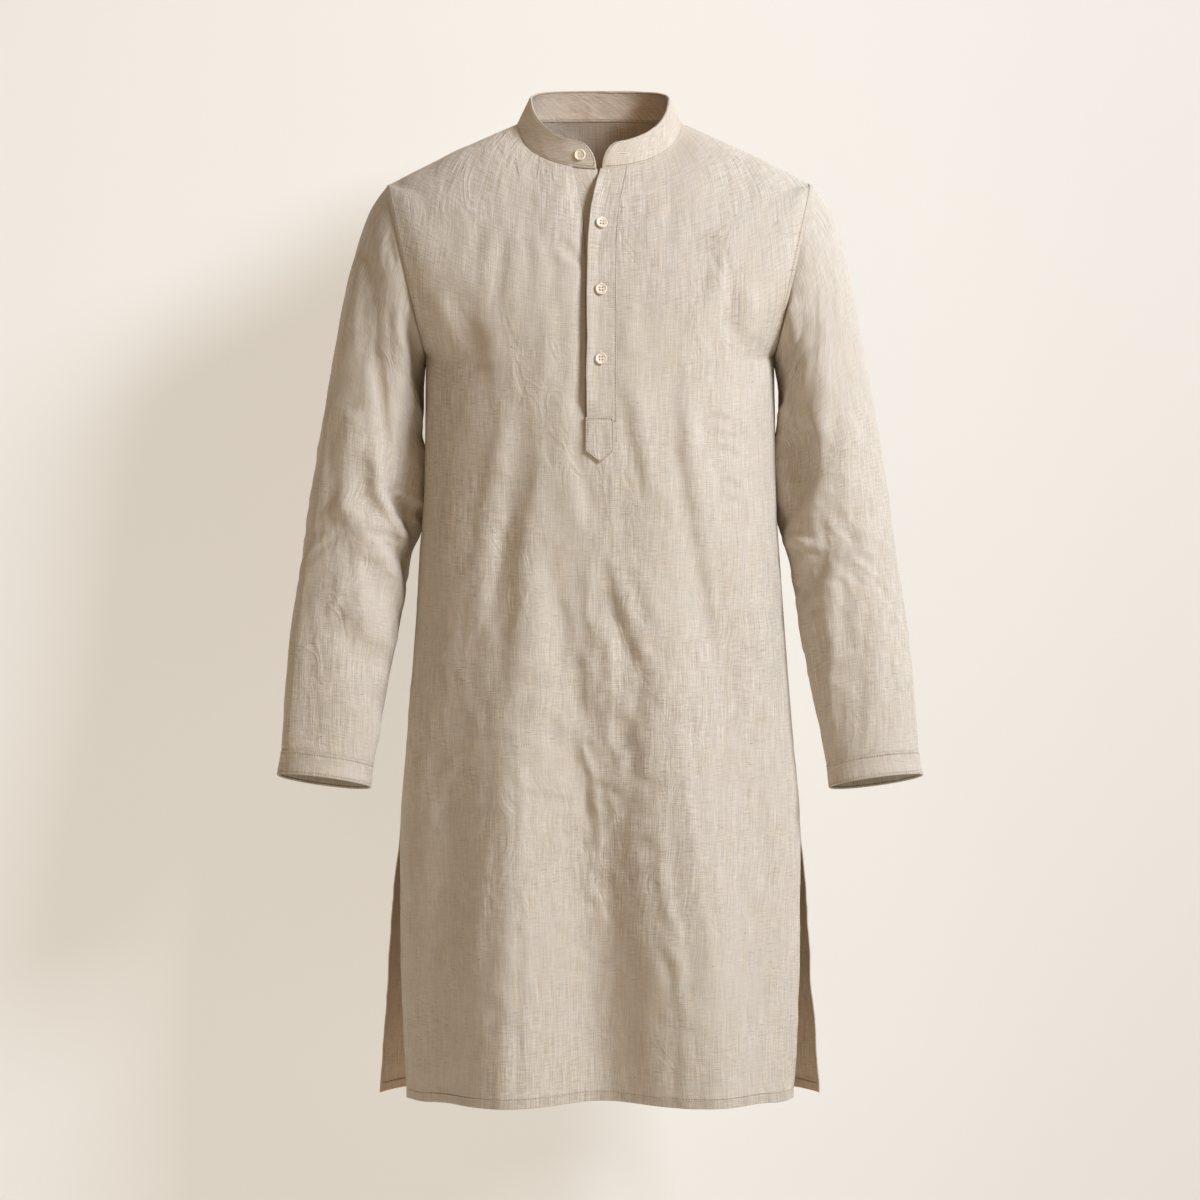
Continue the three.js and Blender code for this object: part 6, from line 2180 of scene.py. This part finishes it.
@dataclass(frozen=True)
class Lamp:
    """A square soft light that faces the garment.

    Attributes:
        name: Name of the light.
        bearing: Angle to the right of the camera, in degrees.
        rise: Angle above level, in degrees.
        distance: Distance from the point that it faces.
        size: Length of its side.
        power: Its power.
        tint: Its colour.
        spread: How wide it shines, in degrees.
    """

    name: str
    bearing: float
    rise: float
    distance: float
    size: float
    power: float
    tint: Colour
    spread: float = 180.0

    def build(self, aim: Vector) -> None:
        """Makes the light, turned to the point that it faces."""
        bearing, rise = math.radians(self.bearing), math.radians(self.rise)
        data = bpy.data.lights.new(self.name, "AREA")
        data.size, data.energy, data.color, data.spread = self.size, self.power, self.tint, math.radians(self.spread)
        away = Vector((math.cos(rise) * math.sin(bearing), -math.cos(rise) * math.cos(bearing), math.sin(rise)))
        place_light(self.name, data, aim + away * self.distance, -away)


def place_light(name: str, data: bpy.types.Light, place: Vector, toward: Vector) -> None:
    """Puts a light at a place, shining along a direction and hidden from the camera."""
    lamp = linked(name, data)
    lamp.location = place
    lamp.rotation_euler = toward.to_track_quat("-Z", "Y").to_euler()
    lamp.visible_camera = False


# The key's narrow spread leaves the hem darker than the chest, and the back light stands behind the sweep.
LAMPS = (
    Lamp("key_light", 50.0, 26.0, 3.9, 1.2, 54.0, (0.825, 0.89, 1.0), 92.0),
    Lamp("fill_light", -14.0, 4.0, 4.0, 2.2, 18.5, (1.0, 0.67, 0.37)),
    Lamp("back_light", 146.0, 24.0, 3.0, 1.0, 34.0, (0.9, 0.93, 1.0)),
)


@dataclass
class Studio:
    """Camera, lights and the pale sweep behind the garment, in metres.

    Attributes:
        camera_distance: Distance of the camera in front of the garment's middle plane.
        camera_height: Its Z.
        lens: Focal length for a sensor 36 mm wide.
        wall_y: Where the sweep's wall stands.
        floor_z: Height of its floor.
        bend: Radius of its curve.
        aim: The point that the lights face.
        neck_light: Place of a narrow light that reaches into the neck.
        neck_aim: The point that it faces.
        neck_power: Its power.
        neck_tint: Its colour.
        ambient: Colour and strength of the light from all round.
        surround: What shows where there is no sweep.
    """

    camera_distance: float = 4.8
    camera_height: float = -0.514
    lens: float = 133.33
    wall_y: float = 0.24
    floor_z: float = -1.5
    bend: float = 0.25
    aim: Colour = (-0.08, 0.0, -0.24)
    neck_light: Colour = (0.0, -0.75, 0.55)
    neck_aim: Colour = (0.0, 0.06, -0.01)
    neck_power: float = 17.0
    neck_tint: Colour = (1.0, 0.76, 0.56)
    ambient: Colour = (0.10, 0.060, 0.029)
    surround: Colour = (0.87, 0.81, 0.74)

    def sweep(self, finishes: Finishes) -> None:
        """The floor and wall as one profile carried across: flat, a quarter circle, upright."""
        angle = np.linspace(0.0, math.pi / 2, 13)[:, None]
        centre = np.array([self.wall_y - self.bend, self.floor_z + self.bend])
        curve = centre + self.bend * np.hstack([np.sin(angle), -np.cos(angle)])
        profile = np.vstack([[-9.0, self.floor_z], curve, [self.wall_y, 5.0]])
        across = np.repeat(np.array([[-7.0, 7.0]]), len(profile), 0)
        grid = np.stack([across, np.repeat(profile[:, :1], 2, 1), np.repeat(profile[:, 1:], 2, 1)], axis=-1)
        index = np.arange(len(profile) * 2).reshape(-1, 2)
        faces = np.stack([index[:-1, 0], index[:-1, 1], index[1:, 1], index[1:, 0]], axis=-1)
        sweep = mesh_object("studio_sweep", grid.reshape(-1, 3), faces)
        sweep.data.materials.append(finishes.backdrop)
        sweep.visible_shadow = False

    def neck_lamp(self) -> None:
        """A narrow soft beam into the neck, as wide as the collar."""
        data = bpy.data.lights.new("neck_light", "SPOT")
        data.energy, data.spot_size, data.spot_blend = self.neck_power, math.radians(11.0), 0.6
        data.shadow_soft_size, data.color = 0.12, self.neck_tint
        place = Vector(self.neck_light)
        place_light("neck_light", data, place, Vector(self.neck_aim) - place)

    def world(self) -> bpy.types.World:
        """Warm light from all round, which shows itself as a paler surround."""
        world = bpy.data.worlds.new("studio")
        world.use_nodes = True
        tree = world.node_tree
        tree.nodes.clear()
        n = Nodes(tree)
        light = n.add("ShaderNodeBackground", {"Color": (*self.ambient, 1.0)})
        seen = n.add("ShaderNodeBackground", {"Color": (*self.surround, 1.0)})
        straight = n.add("ShaderNodeLightPath").outputs["Is Camera Ray"]
        both = n.add("ShaderNodeMixShader", {0: straight, 1: light.outputs[0], 2: seen.outputs[0]})
        n.add("ShaderNodeOutputWorld", {0: both.outputs[0]})
        return world

    def build(self, finishes: Finishes) -> None:
        """Sets the camera, the world, the light and the sweep."""
        scene = bpy.context.scene
        camera = bpy.data.cameras.new("camera")
        camera.lens, camera.sensor_width = self.lens, 36.0
        eye = linked("camera", camera)
        eye.location = (0.0, -self.camera_distance, self.camera_height)
        eye.rotation_euler = (math.pi / 2, 0.0, 0.0)
        scene.camera = eye
        scene.world = self.world()
        scene.view_settings.view_transform = "Standard"
        for lamp in LAMPS:
            lamp.build(Vector(self.aim))
        self.neck_lamp()
        self.sweep(finishes)


# ---------- the garment ----------


def lay_buttonholes(over: ClothSurface, collar: ClothSurface, finishes: Finishes) -> None:
    """Works the holes under the placket buttons and the level one on the collar's left end."""
    border = StitchRun("buttonhole_borders", length=1.5, width=0.42)
    # The slit's bars carry painted shadow.
    slit = StitchRun("buttonhole_slit_shadows", length=2.6, width=0.7)
    hole = Buttonhole()
    for name in ("button_1", "button_2", "button_3"):
        low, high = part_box(name)
        centre = np.array((low + high) / 2) / MM
        point, normal = nearest(over, centre)
        hole.lay(point - np.array([0.0, 0.0, 0.6]), np.array([0.0, 0.0, -1.0]), normal, border, slit)
    low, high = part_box("collar_band")
    point, normal = nearest(collar, np.array([24.5, low.y / MM, -39.0]))
    across = unit(np.cross(np.array([0.0, 0.0, 1.0]), normal))
    Buttonhole(length=13.0, width=2.4).lay(point, across, normal, border, slit)
    dress(border.build(), finishes.thread)
    dress(slit.build(), finishes.slit)


def nearest(surface: ClothSurface, spot: Array) -> tuple[Array, Array]:
    """The surface's grid point nearest to a spot, with its normal."""
    away = np.linalg.norm(surface.points - spot, axis=-1)
    row, column = np.unravel_index(int(np.argmin(away)), away.shape)
    return surface.points[row, column], surface.normals[row, column]


def main() -> None:
    """Builds the garment round the frame, then the studio."""
    logging.basicConfig(level=logging.INFO, format="%(name)s: %(message)s")
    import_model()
    finishes = Finishes.build()
    Studio().build(finishes)
    body_thread = StitchRun("body_stitches")
    BodyPanel(Face.FRONT, FRONT_CREASES).build(finishes, body_thread)
    BodyPanel(Face.BACK, BACK_CREASES, seed=21).build(finishes, body_thread)
    sleeve_thread = StitchRun("cuff_stitches", pitch=2.8, length=2.0)
    for arm in Arm:
        Sleeve(arm, crease_gain=2.3 if arm is Arm.LEFT else 2.6).build(finishes, sleeve_thread)
    collar_thread = StitchRun("collar_stitches", pitch=2.6, length=1.7, width=0.6)
    collar = CollarBand().build(finishes, collar_thread)
    placket_thread = StitchRun("placket_stitches", pitch=2.6, length=1.7, width=0.65)
    placket = Placket()
    over = placket.over(finishes, placket_thread)
    placket.under(finishes)
    placket.tail(finishes, placket_thread)
    for run in (body_thread, sleeve_thread, collar_thread, placket_thread):
        dress(run.build(), finishes.thread)
    for name in ("button_1", "button_2", "button_3", "button_collar"):
        low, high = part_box(name)
        surface = collar if name == "button_collar" else over
        _, normal = nearest(surface, np.array((low + high) / 2) / MM)
        Button(name).build(finishes, normal)
    lay_buttonholes(over, collar, finishes)


if __name__ == "__main__":
    main()
